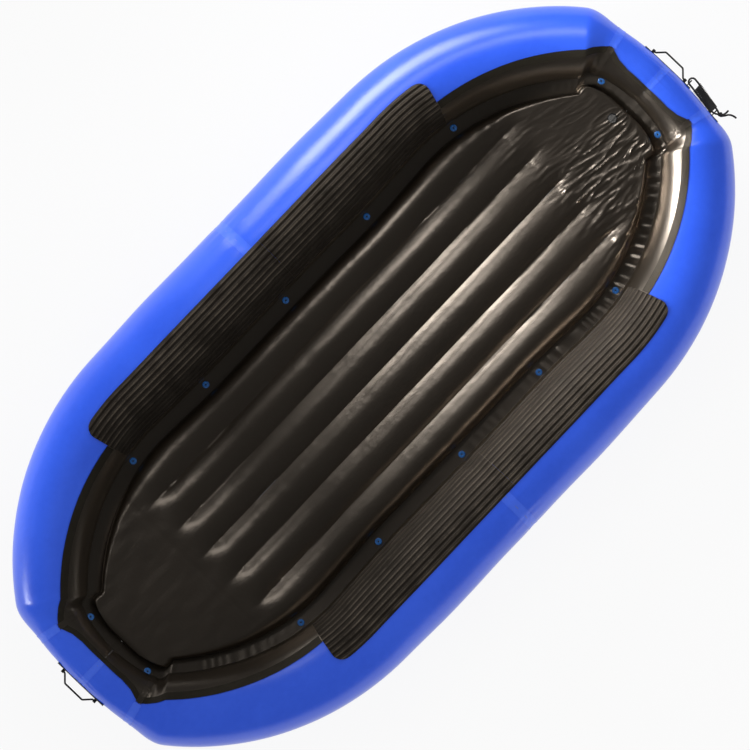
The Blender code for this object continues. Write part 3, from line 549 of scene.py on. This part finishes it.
def laid(name, steps, place, finish, thickness=0.0, closed=False):
    """A grid of fabric, each point put where place says. Its UV map is in metres along and across."""
    work = bmesh.new()
    bmesh.ops.create_grid(work, x_segments=steps[0], y_segments=steps[1], size=0.5)
    weave = work.loops.layers.uv.new("weave")
    spots = {}
    for vert in work.verts:
        spots[vert] = place(vert.co.x + 0.5, vert.co.y + 0.5)
    for face in work.faces:
        for loop in face.loops:
            loop[weave].uv = spots[loop.vert][1]
    for vert, (point, _) in spots.items():
        vert.co = point
    if closed:
        bmesh.ops.remove_doubles(work, verts=work.verts, dist=1e-6)
        bmesh.ops.holes_fill(work, edges=[edge for edge in work.edges if edge.is_boundary])
        bmesh.ops.recalc_face_normals(work, faces=work.faces)
    if thickness:
        bmesh.ops.solidify(work, geom=work.faces[:], thickness=thickness)
        bmesh.ops.recalc_face_normals(work, faces=work.faces)
    return riding_piece(name, work, finish, sharp_angle=40)


thread_pitch = 0.0016
# The gloss changes by no more than this over a fabric, since more would leave specks in the sheen.
shine_drift = 0.04
untinted = (1, 1, 1, 1)


def coated(name, colours, roughness, grain, specular, crease=0.0, tint=untinted, index=1.5, pebble=0.0002):
    """Fabric under a smooth plastic coat: two tones that drift, a faint weave, and a soft crumple. The
    grain, crease and pebble are heights of the surface in metres."""
    finish = Finish(name)
    place = finish.node("ShaderNodeTexCoord", {}, {}, 3)
    weave = finish.node("ShaderNodeUVMap", {"uv_map": "weave"}, {})
    drift = finish.noise(place, scale=2.2, detail=3, roughness=0.6)
    mottle = finish.noise(place, scale=38, detail=3, roughness=0.6)
    tone = (drift * 0.7 + mottle * 0.3).between(0.3, 0.7)
    colour = finish.mixed(tone, colours[0], colours[1])
    turns = 2 * math.pi / thread_pitch
    threads = finish.stretched(weave, (turns, turns, 1))
    along = finish.node("ShaderNodeSeparateXYZ", {}, {0: threads}, 0)
    across = finish.node("ShaderNodeSeparateXYZ", {}, {0: threads}, 1)
    cloth = along.wave() * across.wave() * grain
    soft_folds = finish.noise(place, scale=14, detail=4, roughness=0.55)
    crumple = soft_folds * crease + mottle * pebble + cloth
    bump = finish.node("ShaderNodeBump", {}, {"Strength": 1, "Distance": 1, "Height": crumple})
    shine = mottle * shine_drift + drift * shine_drift + (roughness - shine_drift)
    finish.principled({
        "Base Color": colour,
        "Roughness": shine,
        "Normal": bump,
        "Specular IOR Level": specular,
        "Specular Tint": tint,
        "IOR": index,
    })
    return finish


finer_reaches = (0.035, 0.026)
pocket_range = 0.02


def sunk(piece, middle, outward):
    """Sinks a round pocket for an inflation valve into a piece, after making the mesh there finer."""
    work = bmesh.new()
    work.from_mesh(piece.data)

    def off_axis(point):
        gap = point - middle
        return (gap - outward * gap.dot(outward)).length if abs(gap.dot(outward)) < pocket_range else 1

    for reach in finer_reaches:
        edges = [edge for edge in work.edges if min(off_axis(vert.co) for vert in edge.verts) < reach]
        bmesh.ops.subdivide_edges(work, edges=edges, cuts=1, use_grid_fill=True)
    for vert in work.verts:
        if off_axis(vert.co) < valve_pocket:
            vert.co -= outward * valve_pocket_depth
    work.to_mesh(piece.data)
    work.free()


sides = ((1, "port"), (-1, "starboard"))
ends = ((1, "bow"), (-1, "stern"))
weave_height = 0.000012
chamber_gap = 0.0004
blue_tones = ((0.017, 0.096, 0.80, 1), (0.025, 0.118, 0.89, 1))
blue_fabric = coated("blue_coated_fabric", blue_tones, 0.29, weave_height, specular=0.85)
for side, side_name in sides:
    for end, end_name in ends:

        def tube_place(u, v, side=side, end=end):
            run = end * (chamber_gap + (bow_centre - 2 * chamber_gap) * u)
            angle = (v * 2 - 1) * math.pi
            return on_tube(run, side, angle, 0), (run, angle * side_radius)

        chamber = laid(f"tube_{side_name}_{end_name}", (240, 128), tube_place, blue_fabric, closed=True)
        low, high = (Vector(corner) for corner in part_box(f"valve_body_{side_name}_{end_name}"))
        seat = on_tube(end * valve_run, side, valve_angle, 0)
        outward = (on_tube(end * valve_run, side, valve_angle, 0.01) - seat).normalized()
        middle = (low + high) / 2 + outward * valve_body_middle
        sunk(chamber, middle, outward)
        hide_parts(f"chamber_{side_name}_{end_name}")


# The wraps. A band of black coated fabric is glued over the inner face of the tubes, from the floor's
# flange up to a neat edge that dips to a point at each corner, and a narrow binding runs along that edge.

skirt_knots = (
    (0.7, math.radians(34)),
    (straight_half + (curve_end - straight_half) / 7, math.radians(34)),
    ((straight_half + curve_end) / 2, math.radians(29)),
    (curve_end, math.radians(22)),
    (1.76, math.radians(13.5)),
    (seam, math.radians(0.5)),
    (1.87, math.radians(17)),
    (bow_centre - 0.115, math.radians(24)),
    (bow_centre, math.radians(28)),
)


def skirt_angle(run):
    """The angle from the tube's top to the wrap's outer edge."""
    for (low, first), (high, second) in zip(skirt_knots, skirt_knots[1:]):
        if abs(run) <= high:
            return first + (second - first) * max(0, abs(run) - low) / (high - low)
    return skirt_knots[-1][1]


slight_crimp = 0.16


def crimp(run, side):
    """How strongly the fabric is gathered beside the flange: most on the tight curves of the bow."""
    reach = abs(run)
    if side > 0 or run < 0:
        return slight_crimp * eased(reach, ((0.6, 0.1), (1.3, 1), (2.0, 0.4)))
    knots = ((0.3, 0.15), (0.6, 0.6), (1.0, 0.9), (1.3, 1), (1.7, 0.9), (1.84, 0.3), (2.0, 0.2))
    return eased(reach, knots)


fold_pitch = 0.052
fold_drift = 7
fold_fade = 0.08


def gathered(run, side):
    """The folds of the gathered edge, along the tube."""
    fold = math.sin(run * 2 * math.pi / fold_pitch + fold_drift * ripple((run, side, 2), 6))
    fade = min(1, (bow_centre - abs(run)) / fold_fade)
    return (fold * 0.7 + ripple((run, side, 4), 33) * 0.9) * crimp(run, side) * fade


warm = (1, 0.86, 0.72, 1)
black_tones = ((0.005, 0.0038, 0.0024, 1), (0.009, 0.0068, 0.0043, 1))
black_fabric = coated(
    "black_coated_fabric",
    black_tones,
    0.3,
    weave_height,
    specular=1.0,
    crease=0.0012,
    tint=warm,
    index=2.1,
)
wrap_gap = 0.0003
wrap_thickness = 0.001
wrap_fold = 0.0035
wrap_fold_reach = 0.45


def wrap_skin(side, start, end, low, high, lift):
    """Fabric on one side's tubes, between two distances and two shares of the way up the wrap."""

    def place(u, v):
        run = start + (end - start) * u
        edge = skirt_angle(run)
        share = low + (high - low) * v
        angle = -attach_angle + (attach_angle - edge) * share
        fold = wrap_fold * gathered(run, side) * max(0, 1 - share / wrap_fold_reach) ** 2
        return on_tube(run, side, angle, lift + fold), (run, angle * side_radius)

    return place


for side, side_name in sides:
    place = wrap_skin(side, -seam, seam, 0, 1, wrap_gap + wrap_thickness)
    wrap = laid(f"wrap_{side_name}", (420, 30), place, black_fabric, wrap_thickness)
    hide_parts(f"skirt_{side_name}")
    2 * seam
for end, end_name in ends:
    halves = []
    for side in (1, -1):
        place = wrap_skin(side, end * seam, end * bow_centre, 0, 1, wrap_gap + wrap_thickness)
        halves.append(laid(f"wrap_{end_name}_{side}", (40, 30), place, black_fabric))
    work = bmesh.new()
    for half in halves:
        work.from_mesh(half.data)
        bpy.data.objects.remove(half)
    bmesh.ops.remove_doubles(work, verts=work.verts, dist=1e-5)
    bmesh.ops.recalc_face_normals(work, faces=work.faces)
    bmesh.ops.solidify(work, geom=work.faces[:], thickness=wrap_thickness)
    bmesh.ops.recalc_face_normals(work, faces=work.faces)
    wrap = riding_piece(f"wrap_{end_name}", work, black_fabric)
    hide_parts(f"skirt_{end_name}")
    2 * (bow_centre - seam)


# The wraps' binding. A narrow band of duller coated fabric, glued along the wraps' outer edge from the ends
# of the wear pads round the bow and stern, because the pads cover that edge along the sides.

pad_ends = {1: (-0.995, 1.01), -1: (-0.965, 1.04)}
binding_gap = 0.004
binding_thickness = 0.0006
binding_low = 0.885
binding_high = 1.006
binding_lift = wrap_gap + wrap_thickness * 2 + binding_thickness
binding_tones = ((0.010, 0.009, 0.0055, 1), (0.017, 0.015, 0.009, 1))
binding_weave = 0.00006
binding_fabric = coated(
    "olive_binding", binding_tones, 0.46, binding_weave, specular=0.8, crease=0.0006, tint=warm
)
for side, side_name in sides:
    for end_name, start, end in (
        ("stern", pad_ends[side][0] - binding_gap, -seam),
        ("bow", pad_ends[side][1] + binding_gap, seam),
        ("stern_end", -seam, -bow_centre),
        ("bow_end", seam, bow_centre),
    ):
        place = wrap_skin(side, start, end, binding_low, binding_high, binding_lift)
        name = f"binding_{side_name}_{end_name}"
        binding = laid(name, (90, 6), place, binding_fabric, binding_thickness)


# The tapes. Strips of coated fabric glued over the joints: blue ones run round the tubes at midships, at
# the four corners and at the middle of the bow and stern, and black ones close the wraps' corners.

tape_thickness = 0.001
midships_tape_lift = 0.0012
tape_lift = 0.0015
tape_wave = 0.0004
tape_bottom = math.radians(168)
midships_tape_half = 0.024
corner_tape_half = 0.017
end_tape_half = 0.015
wrap_tape_half = 0.013
blue_tape_tones = ((0.034, 0.128, 0.88, 1), (0.044, 0.150, 0.95, 1))
blue_tape = coated("blue_seam_tape", blue_tape_tones, 0.34, weave_height, specular=0.85, crease=0.0009)
black_tape = coated(
    "black_seam_tape", black_tones, 0.36, weave_height, specular=1.0, crease=0.0008, tint=warm, index=2
)


def round_tape(name, centre, side, half, low, high, lift, finish):
    """A strip round the tubes at a distance from midships, between two angles from the top."""

    def place(u, v):
        run = centre + half * (2 * v - 1)
        swap_side = abs(run) > bow_centre
        if swap_side:
            run = math.copysign(2 * bow_centre - abs(run), run)
        angle = low + (high - low) * u
        wave = tape_wave * ripple((angle * 9, v * 2, centre + side), 2)
        point = on_tube(run, -side if swap_side else side, angle, lift + wave)
        return point, (angle * side_radius, v * half * 2)

    made = laid(name, (120, 10), place, finish, tape_thickness)


wrap_tape_lift = wrap_gap + wrap_thickness * 2 + tape_thickness
corner_top = math.radians(1)
wrap_tape_low = -attach_angle + 0.05
for side, side_name in sides:
    top = 0.02 - skirt_angle(0)
    midships_tape = (0, side, midships_tape_half, top, tape_bottom, midships_tape_lift, blue_tape)
    round_tape(f"tape_{side_name}", *midships_tape)
    for end, end_name in ends:
        corner, name = end * seam, f"tape_{side_name}_{end_name}"
        corner_tape = (corner, side, corner_tape_half, corner_top, tape_bottom, tape_lift, blue_tape)
        wrap_tape = (corner, side, wrap_tape_half, wrap_tape_low, -corner_top, wrap_tape_lift, black_tape)
        round_tape(name, *corner_tape)
        round_tape(f"wrap_{name}", *wrap_tape)
for end, end_name in ends:
    top, bottom = math.radians(-27), math.radians(74)
    end_tape = (end * bow_centre, 1, end_tape_half, top, bottom, tape_lift, blue_tape)
    round_tape(f"tape_{end_name}", *end_tape)


# The wear pads. Mats of moulded rubber with lengthwise ribs, glued over the top and inner face of the side
# tubes in two lengths a side, with their end corners cut round. Their rib tops carry a painted highlight, a
# lighter colour that stands for the lamps' light where the ribs face port: every rib on the starboard pads,
# but only the outer ribs on the port pads, whose inner ribs face away and are left dark.

pad_inner = math.radians(72)
pad_outer = math.radians(4)
pad_split = 0.06
pad_split_gap = 0.0004
pad_corner = 0.055
pad_web = 0.0022
rib_height = 0.0028
rib_count = 11
rib_steepness = 2.6
rib_groove = 0.55
corner_from = 0.9


def ribbed(name, lit_ribs_to):
    """Ribbed rubber with a cross grain; a painted highlight lightens the tops of the ribs that face the
    lamps.
    """
    finish = Finish(name)
    place = finish.node("ShaderNodeTexCoord", {}, {}, 3)
    weave = finish.node("ShaderNodeUVMap", {"uv_map": "weave"}, {})
    wear = finish.noise(place, scale=11, detail=4, roughness=0.6)
    grain = finish.noise(finish.stretched(weave, (1, 0.12, 1)), scale=420)
    bump = finish.node("ShaderNodeBump", {}, {"Strength": 0.8, "Distance": 0.0006, "Height": grain})
    angle = finish.node("ShaderNodeSeparateXYZ", {}, {0: weave}, 1) * (1 / side_radius)
    share = (pad_outer - angle) * (1 / (pad_outer + pad_inner))
    top = 0 - (share * (2 * math.pi * rib_count) + math.pi / 2).wave()
    # Which ribs get the painted highlight: those up to a share of the pad's width, which face the lamps.
    ribs_facing_lamps = 1 - share.between(lit_ribs_to - 0.05, lit_ribs_to + 0.05)
    # Painted highlight: the tops of those ribs are lightened towards a light brown, broken up by the wear
    # noise.
    painted_rib_highlight = top.between(0.45, 1) * ribs_facing_lamps * wear.between(0.2, 0.7)
    dark = finish.mixed(wear.between(0.35, 0.7), (0.0105, 0.008, 0.006, 1), (0.017, 0.0135, 0.0105, 1))
    colour = finish.mixed(painted_rib_highlight * grain.between(0.2, 0.6) * 0.8, dark, (0.125, 0.10, 0.075, 1))
    finish.principled({
        "Base Color": colour,
        "Roughness": wear * 0.2 + 0.42,
        "Normal": bump,
        "Specular IOR Level": 0.6,
        "Specular Tint": warm,
    })
    return finish


def pad_skin(side, start, end):
    """A pad's surface: its ribs, and at the end away from midships its outer corner cut round."""
    over = wrap_gap * 2 + wrap_thickness + pad_web

    def place(u, v):
        run = start + (end - start) * u
        share = 1 - v
        angle = pad_outer - (pad_inner + pad_outer) * share
        rib = (share * rib_count) % 1
        rise = min(1, max(0, (0.5 - abs(rib - 0.5)) / 0.5 * rib_steepness - rib_groove))
        lift = over + rib_height * (3 * rise**2 - 2 * rise**3)
        from_edge = (pad_outer - angle) * side_radius
        away = pad_corner - min(from_edge, pad_corner)
        cut = pad_corner - math.sqrt(max(0, pad_corner**2 - away**2))
        shift = cut * max(0, min(1, (u - corner_from) / (1 - corner_from)))
        point = on_tube(run - math.copysign(shift, end - start), side, angle, lift)
        return point, (run, angle * side_radius)

    return place


port_rubber = ribbed("ribbed_rubber_port", 0.6)
starboard_rubber = ribbed("ribbed_rubber_starboard", 1.1)
for side, side_name, rubber in ((1, "port", port_rubber), (-1, "starboard", starboard_rubber)):
    for end_name, limit in (("stern", pad_ends[side][0]), ("bow", pad_ends[side][1])):
        start = pad_split + math.copysign(pad_split_gap, limit)
        place = pad_skin(side, start, limit)
        pad = laid(f"pad_{side_name}_{end_name}", (110, 176), place, rubber, pad_web)
        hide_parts(f"wear_pad_{side_name}_{end_name}")


# The floor's flange. Two strips of the same black fabric hang the floor on the tubes all round, joined at
# the middle of the bow and stern. They are gathered where the tubes curve, so they lie in short folds there.

floor_tubes = 6
floor_pitch = 0.1524
side_flange_width = side_offset - side_radius * math.sin(attach_angle) - floor_tubes / 2 * floor_pitch
end_flange_width = 0.055
flange_thickness = 0.0012
flange_half_gap = 0.0004
flange_fold = 0.0045
flange_seam_lift = 0.0006
flange_top = 0.006
flange_drop = 0.014
flange_tape_lift = 0.0014
flange_tape_half = 0.02
under_floor = 1.07


def floor_edge(run, side):
    """The floor's edge, inboard of the tube by the flange's width."""
    x, y, heading = centre_line(min(abs(run), bow_centre))
    radius = tube_radius(min(abs(run), bow_centre))
    share = (radius - end_radius) / (side_radius - end_radius)
    width = end_flange_width + (side_flange_width - end_flange_width) * share
    inboard = radius * math.sin(attach_angle) + width
    edge_x = x - inboard * math.sin(heading)
    edge_y = y - inboard * math.cos(heading)
    return Vector((math.copysign(1, run) * edge_x, side * edge_y, rocker(edge_x)))


def flange_point(run, side, share):
    """A point a share of the way from the flange's seam on the tube to the floor's edge."""
    outer = on_tube(run, side, -attach_angle, wrap_gap * 2 + wrap_thickness + flange_seam_lift)
    inner = floor_edge(run, side)
    return outer.lerp(inner, share)


def flange_skin(run, side, share):
    """The flange's own surface: a little above its seam on the tube, a little below the floor's edge, and
    gathered into folds of uneven length."""
    point = flange_point(run, side, share)
    hump = math.sin(min(1, share * 1.1) * math.pi) ** 0.7
    point.z += flange_top - flange_drop * share + flange_fold * hump * gathered(run, side)
    return point


for side, side_name in sides:

    def flange_place(u, v, side=side):
        run = (u * 2 - 1) * (bow_centre - flange_half_gap)
        return flange_skin(run, side, v * under_floor), (run, v * 0.1)

    flange = laid(f"flange_{side_name}", (640, 12), flange_place, black_fabric, flange_thickness)
    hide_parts(f"floor_flange_{side_name}")
    2 * bow_centre
for end, end_name in ends:

    def tape_place(u, v, end=end):
        off = (v * 2 - 1) * flange_tape_half
        run = end * (bow_centre - flange_half_gap - abs(off) * 0.99)
        point = flange_skin(run, math.copysign(1, off), 0.02 + 0.96 * u)
        return point + Vector((0, 0, flange_tape_lift)), (u * 0.06, off)

    flange_tape = laid(f"flange_tape_{end_name}", (14, 12), tape_place, black_tape, tape_thickness)


# The floor. One air bladder of black coated fabric, 3 m long. Webs inside draw it into six long tubes,
# which end short of the bow and stern, where the slack fabric lies in wrinkles.

floor_crown = 0.066
floor_valley = 0.041
bow_beam_end = 1.12
stern_beam_end = 0.974
floor_seams = (-1.42, -1.1, 1.095, 1.275)
seam_depth = 0.0012
seam_width = 0.006
end_thinning = 0.55
# Where the slack fabric starts and ends at the bow, where it starts from port, and how slack port is.
slack_start = (1.06, 1.15)
slack_end = (1.44, 1.52)
slack_from_port = (-0.1, 0.03)
port_slack = 0.22
stern_slack = (0.95, 1.1)
# The slack bow's two sizes of wrinkle: height, and how many to a metre along and across their heading.
bow_wrinkles = ((0.0062, (8, 38)), (0.0032, (15, 75)))
wrinkle_heading = (0.978, 0.208)
wrinkle_sharpness = 2.6
swell_height = 0.0012
pucker_height = 0.004
pucker_x = 1.08
pucker_length = 0.07
edge_runs = [bow_centre * k / 400 for k in range(401)]
edge_points = [floor_edge(run, 1) for run in edge_runs]
edge_list = [(point.x, point.y) for point in edge_points if point.y > 0.02]
edge_x_list = [x for x, _ in edge_list]
floor_reach = edge_x_list[-1]


def half_width(x):
    """Half the floor's width at a place along it."""
    k = min(max(bisect.bisect(edge_x_list, abs(x)), 1), len(edge_list) - 1)
    (low, first), (high, second) = edge_list[k - 1], edge_list[k]
    return first + (second - first) * (abs(x) - low) / (high - low)


def floor_spot(half, share):
    """Which of the floor's tubes a share (-1 to 1) of the way across lies on, and where on it (-1 to 1).
    The inner tubes run straight until the floor is too narrow for them."""
    pitch = min(floor_pitch, half / (floor_tubes / 2 - 0.45))
    outer = half - pitch * (floor_tubes / 2 - 1)
    y = half * share
    if abs(y) > half - outer:
        across = max(-1, min(1, 2 * (abs(y) - half + outer) / outer - 1))
        return (floor_tubes - 1, across) if y > 0 else (0, -across)
    tube = y / pitch + floor_tubes / 2
    return min(int(tube), floor_tubes - 1), 2 * (tube % 1) - 1


def wrinkled(x, share, across):
    """How far the fabric stands off the floor's plain shape: wrinkles where it is slack at the ends, puckers
    where the webs stop, and the dents of the seams."""
    y = half_width(x) * share
    ahead_share, across_share = wrinkle_heading
    along, off = x * ahead_share - y * across_share, y * ahead_share + x * across_share
    slack = step_up(x, *slack_start) * (1 - step_up(x, *slack_end))
    slack *= port_slack + (1 - port_slack) * step_up(-y, *slack_from_port)
    height = swell_height * ripple((x * 6, y * 12, 0.3), 1, 7)
    for size, (long, wide) in bow_wrinkles:
        sharp = 1 - min(1, abs(ripple((along * long, off * wide, 1.7), 1, wide)) * wrinkle_sharpness)
        height += size * slack * sharp**1.5
    nose = near(x - pucker_x, pucker_length) * (1 - abs(across)) ** 0.5
    height += pucker_height * nose * ripple((x * 16, y * 70, 6.2), 1, 9)
    height += swell_height * step_up(-x, *stern_slack) * ripple((x * 12, y * 24, 3.1), 1, 5)
    for seam_x in floor_seams:
        height -= seam_depth * near(x - seam_x, seam_width)
    return height


def floor_height(x, share, sign):
    """Half the floor's thickness at a place along it and a share (-1 to 1) of the way across."""
    beam_end = bow_beam_end if x > 0 else stern_beam_end
    past = max(0, abs(x) - beam_end) / (floor_reach - beam_end)
    thickness = 1 - end_thinning * past
    number, across = floor_spot(half_width(x), share)
    lobed = 1 - step_up(abs(x), beam_end - 0.04, beam_end + 0.1)
    crown = floor_crown * thickness
    valley = crown - (floor_crown - floor_valley) * lobed
    edge = number == 0 and across < 0 or number == floor_tubes - 1 and across > 0
    arch = math.sqrt(max(0, 1 - across**2)) if edge else 1 - across**2
    height = arch * crown if edge else valley + (crown - valley) * arch
    if sign < 0:
        return -height
    return height + wrinkled(x, share, across) * min(1, (1 - abs(share)) * 12)


top_share = 0.72
end_rounding = 0.03


def floor_place(u, v):
    """The bladder's skin: over the top to starboard, then back underneath to port."""
    x = (u * 2 - 1) * floor_reach
    sign = 1 if v <= top_share else -1
    share = 1 - 2 * v / top_share if sign > 0 else -1 + 2 * (v - top_share) / (1 - top_share)
    past = max(0, (abs(x) - floor_reach + end_rounding) / end_rounding)
    end_round = math.sqrt(max(0.0, 1 - past**2))
    y = half_width(x) * share
    z = rocker(x) + floor_height(x, share, sign) * end_round
    return Vector((x, y, z)), (x, y if sign > 0 else y + 2)


floor_tones = ((0.0055, 0.0036, 0.0021, 1), (0.0095, 0.0064, 0.0038, 1))
floor_fabric = coated(
    "floor_coated_fabric",
    floor_tones,
    0.3,
    weave_height,
    specular=1.0,
    crease=0.0022,
    tint=warm,
    index=2.1,
    pebble=0.0005,
)
bladder = laid("floor_tubes", (340, 200), floor_place, floor_fabric, closed=True)
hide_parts("floor_bladder")


# The drain eyelets. Small moulded rings of blue plastic through the flange, five along each side and two at
# each end, which let the water out of the cockpit.

side_eyelets = {1: (-1.014, -0.521, -0.027, 0.471, 1.053), -1: (-1.02, -0.498, 0.015, 0.496, 1.02)}
end_eyelet_run = bow_centre - 0.181
side_eyelet_share = 0.57
end_eyelet_share = 0.31
eyelets = []
for side, side_name in sides:
    for k, run in enumerate(side_eyelets[side], 1):
        eyelets.append((f"{side_name}_{k}", run, side, side_eyelet_share))
for end, end_name in ends:
    for side, side_name in sides:
        eyelets.append((f"{end_name}_{side_name}", end * end_eyelet_run, side, end_eyelet_share))

eyelet_plastic = Finish("blue_plastic")
eyelet_place = eyelet_plastic.node("ShaderNodeTexCoord", {}, {}, 3)
eyelet_wear = eyelet_plastic.noise(eyelet_place, scale=160, detail=3)
eyelet_tones = ((0.014, 0.12, 0.42, 1), (0.028, 0.18, 0.56, 1))
eyelet_colour = eyelet_plastic.mixed(eyelet_wear.between(0.35, 0.7), *eyelet_tones)
eyelet_plastic.principled({"Base Color": eyelet_colour, "Roughness": eyelet_wear * 0.2 + 0.25})


turning_steps = 36


def turned(name, profile, finish, matrix):
    """A round piece spun about its own axis from (radius, height) points, then set in place."""
    work = bmesh.new()
    ring = [work.verts.new((radius, 0, height)) for radius, height in profile]
    edges = [work.edges.new(pair) for pair in zip(ring, ring[1:])]
    bmesh.ops.spin(
        work,
        geom=ring + edges,
        axis=(0, 0, 1),
        cent=(0, 0, 0),
        angle=2 * math.pi,
        steps=turning_steps,
        use_merge=True,
    )
    bmesh.ops.remove_doubles(work, verts=work.verts, dist=1e-6)
    bmesh.ops.recalc_face_normals(work, faces=work.faces)
    bmesh.ops.transform(work, matrix=matrix, verts=work.verts)
    return riding_piece(name, work, finish, sharp_angle=50)


def flange_frame(run, side, share):
    """Where a piece through the flange stands, and how it is turned."""
    along = flange_point(run + 0.01, side, share) - flange_point(run - 0.01, side, share)
    across = flange_point(run, side, share + 0.1) - flange_point(run, side, share - 0.1)
    up = along.cross(across).normalized()
    up = up if up.z > 0 else -up
    along.normalize()
    turn = Matrix((along, up.cross(along), up)).transposed().to_4x4()
    return Matrix.Translation(flange_point(run, side, share)) @ turn


eyelet_bore = 0.0036
eyelet_profile = (
    (eyelet_bore, -0.004),
    (0.0088, -0.004),
    (0.0088, 0.0009),
    (0.0138, 0.0009),
    (0.0148, 0.0014),
    (0.0149, 0.0021),
    (0.0135, 0.0030),
    (0.0105, 0.0036),
    (0.007, 0.0036),
    (eyelet_bore, 0.0032),
    (eyelet_bore, -0.004),
)
for name, run, side, share in eyelets:
    eyelet = turned(f"eyelet_{name}", eyelet_profile, eyelet_plastic, flange_frame(run, side, share))
    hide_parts(f"drain_eyelet_{name}")


# The hard parts and the webs. The moulded rubber handles with their patches and the line's anchor, the
# plastic valves, and the fabric baffles and beams inside the tubes and floor keep the CAD's shapes, and
# each takes the finish of its kind.


def moulded(name, colours, roughness, grain=260):
    """Moulded plastic or rubber: two close tones, a fine grain and duller worn patches."""
    finish = Finish(name)
    place = finish.node("ShaderNodeTexCoord", {}, {}, 3)
    wear = finish.noise(place, scale=60, detail=4, roughness=0.6)
    skin = finish.noise(place, scale=grain)
    colour = finish.mixed(wear.between(0.35, 0.7), colours[0], colours[1])
    bump = finish.node("ShaderNodeBump", {}, {"Strength": 0.4, "Distance": 0.0004, "Height": skin})
    finish.principled({
        "Base Color": colour,
        "Roughness": wear * 0.2 + (roughness - 0.1),
        "Normal": bump,
        "Specular IOR Level": 0.4,
    })
    return finish


black_rubber = moulded("black_moulded_rubber", ((0.010, 0.0095, 0.009, 1), (0.02, 0.019, 0.018, 1)), 0.5)
black_plastic = moulded("black_valve_plastic", ((0.014, 0.014, 0.015, 1), (0.028, 0.028, 0.03, 1)), 0.4)
white_plastic = moulded("white_valve_plastic", ((0.55, 0.55, 0.52, 1), (0.66, 0.66, 0.64, 1)), 0.4)
grey_plastic = moulded("grey_cap_plastic", ((0.075, 0.072, 0.068, 1), (0.11, 0.105, 0.1, 1)), 0.45)
web_fabric = moulded("grey_web_fabric", ((0.2, 0.2, 0.21, 1), (0.28, 0.28, 0.29, 1)), 0.65, 900)
finish_of = (
    ("handle_", black_rubber),
    ("line_anchor", black_rubber),
    ("valve_body", black_plastic),
    ("valve_plunger", white_plastic),
    ("valve_cap", grey_plastic),
    ("baffle_", web_fabric),
    ("floor_beam", web_fabric),
)
for name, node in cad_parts.items():
    for start, finish in finish_of:
        if name.startswith(start):
            for slot in node.material_slots:
                slot.material = finish.material
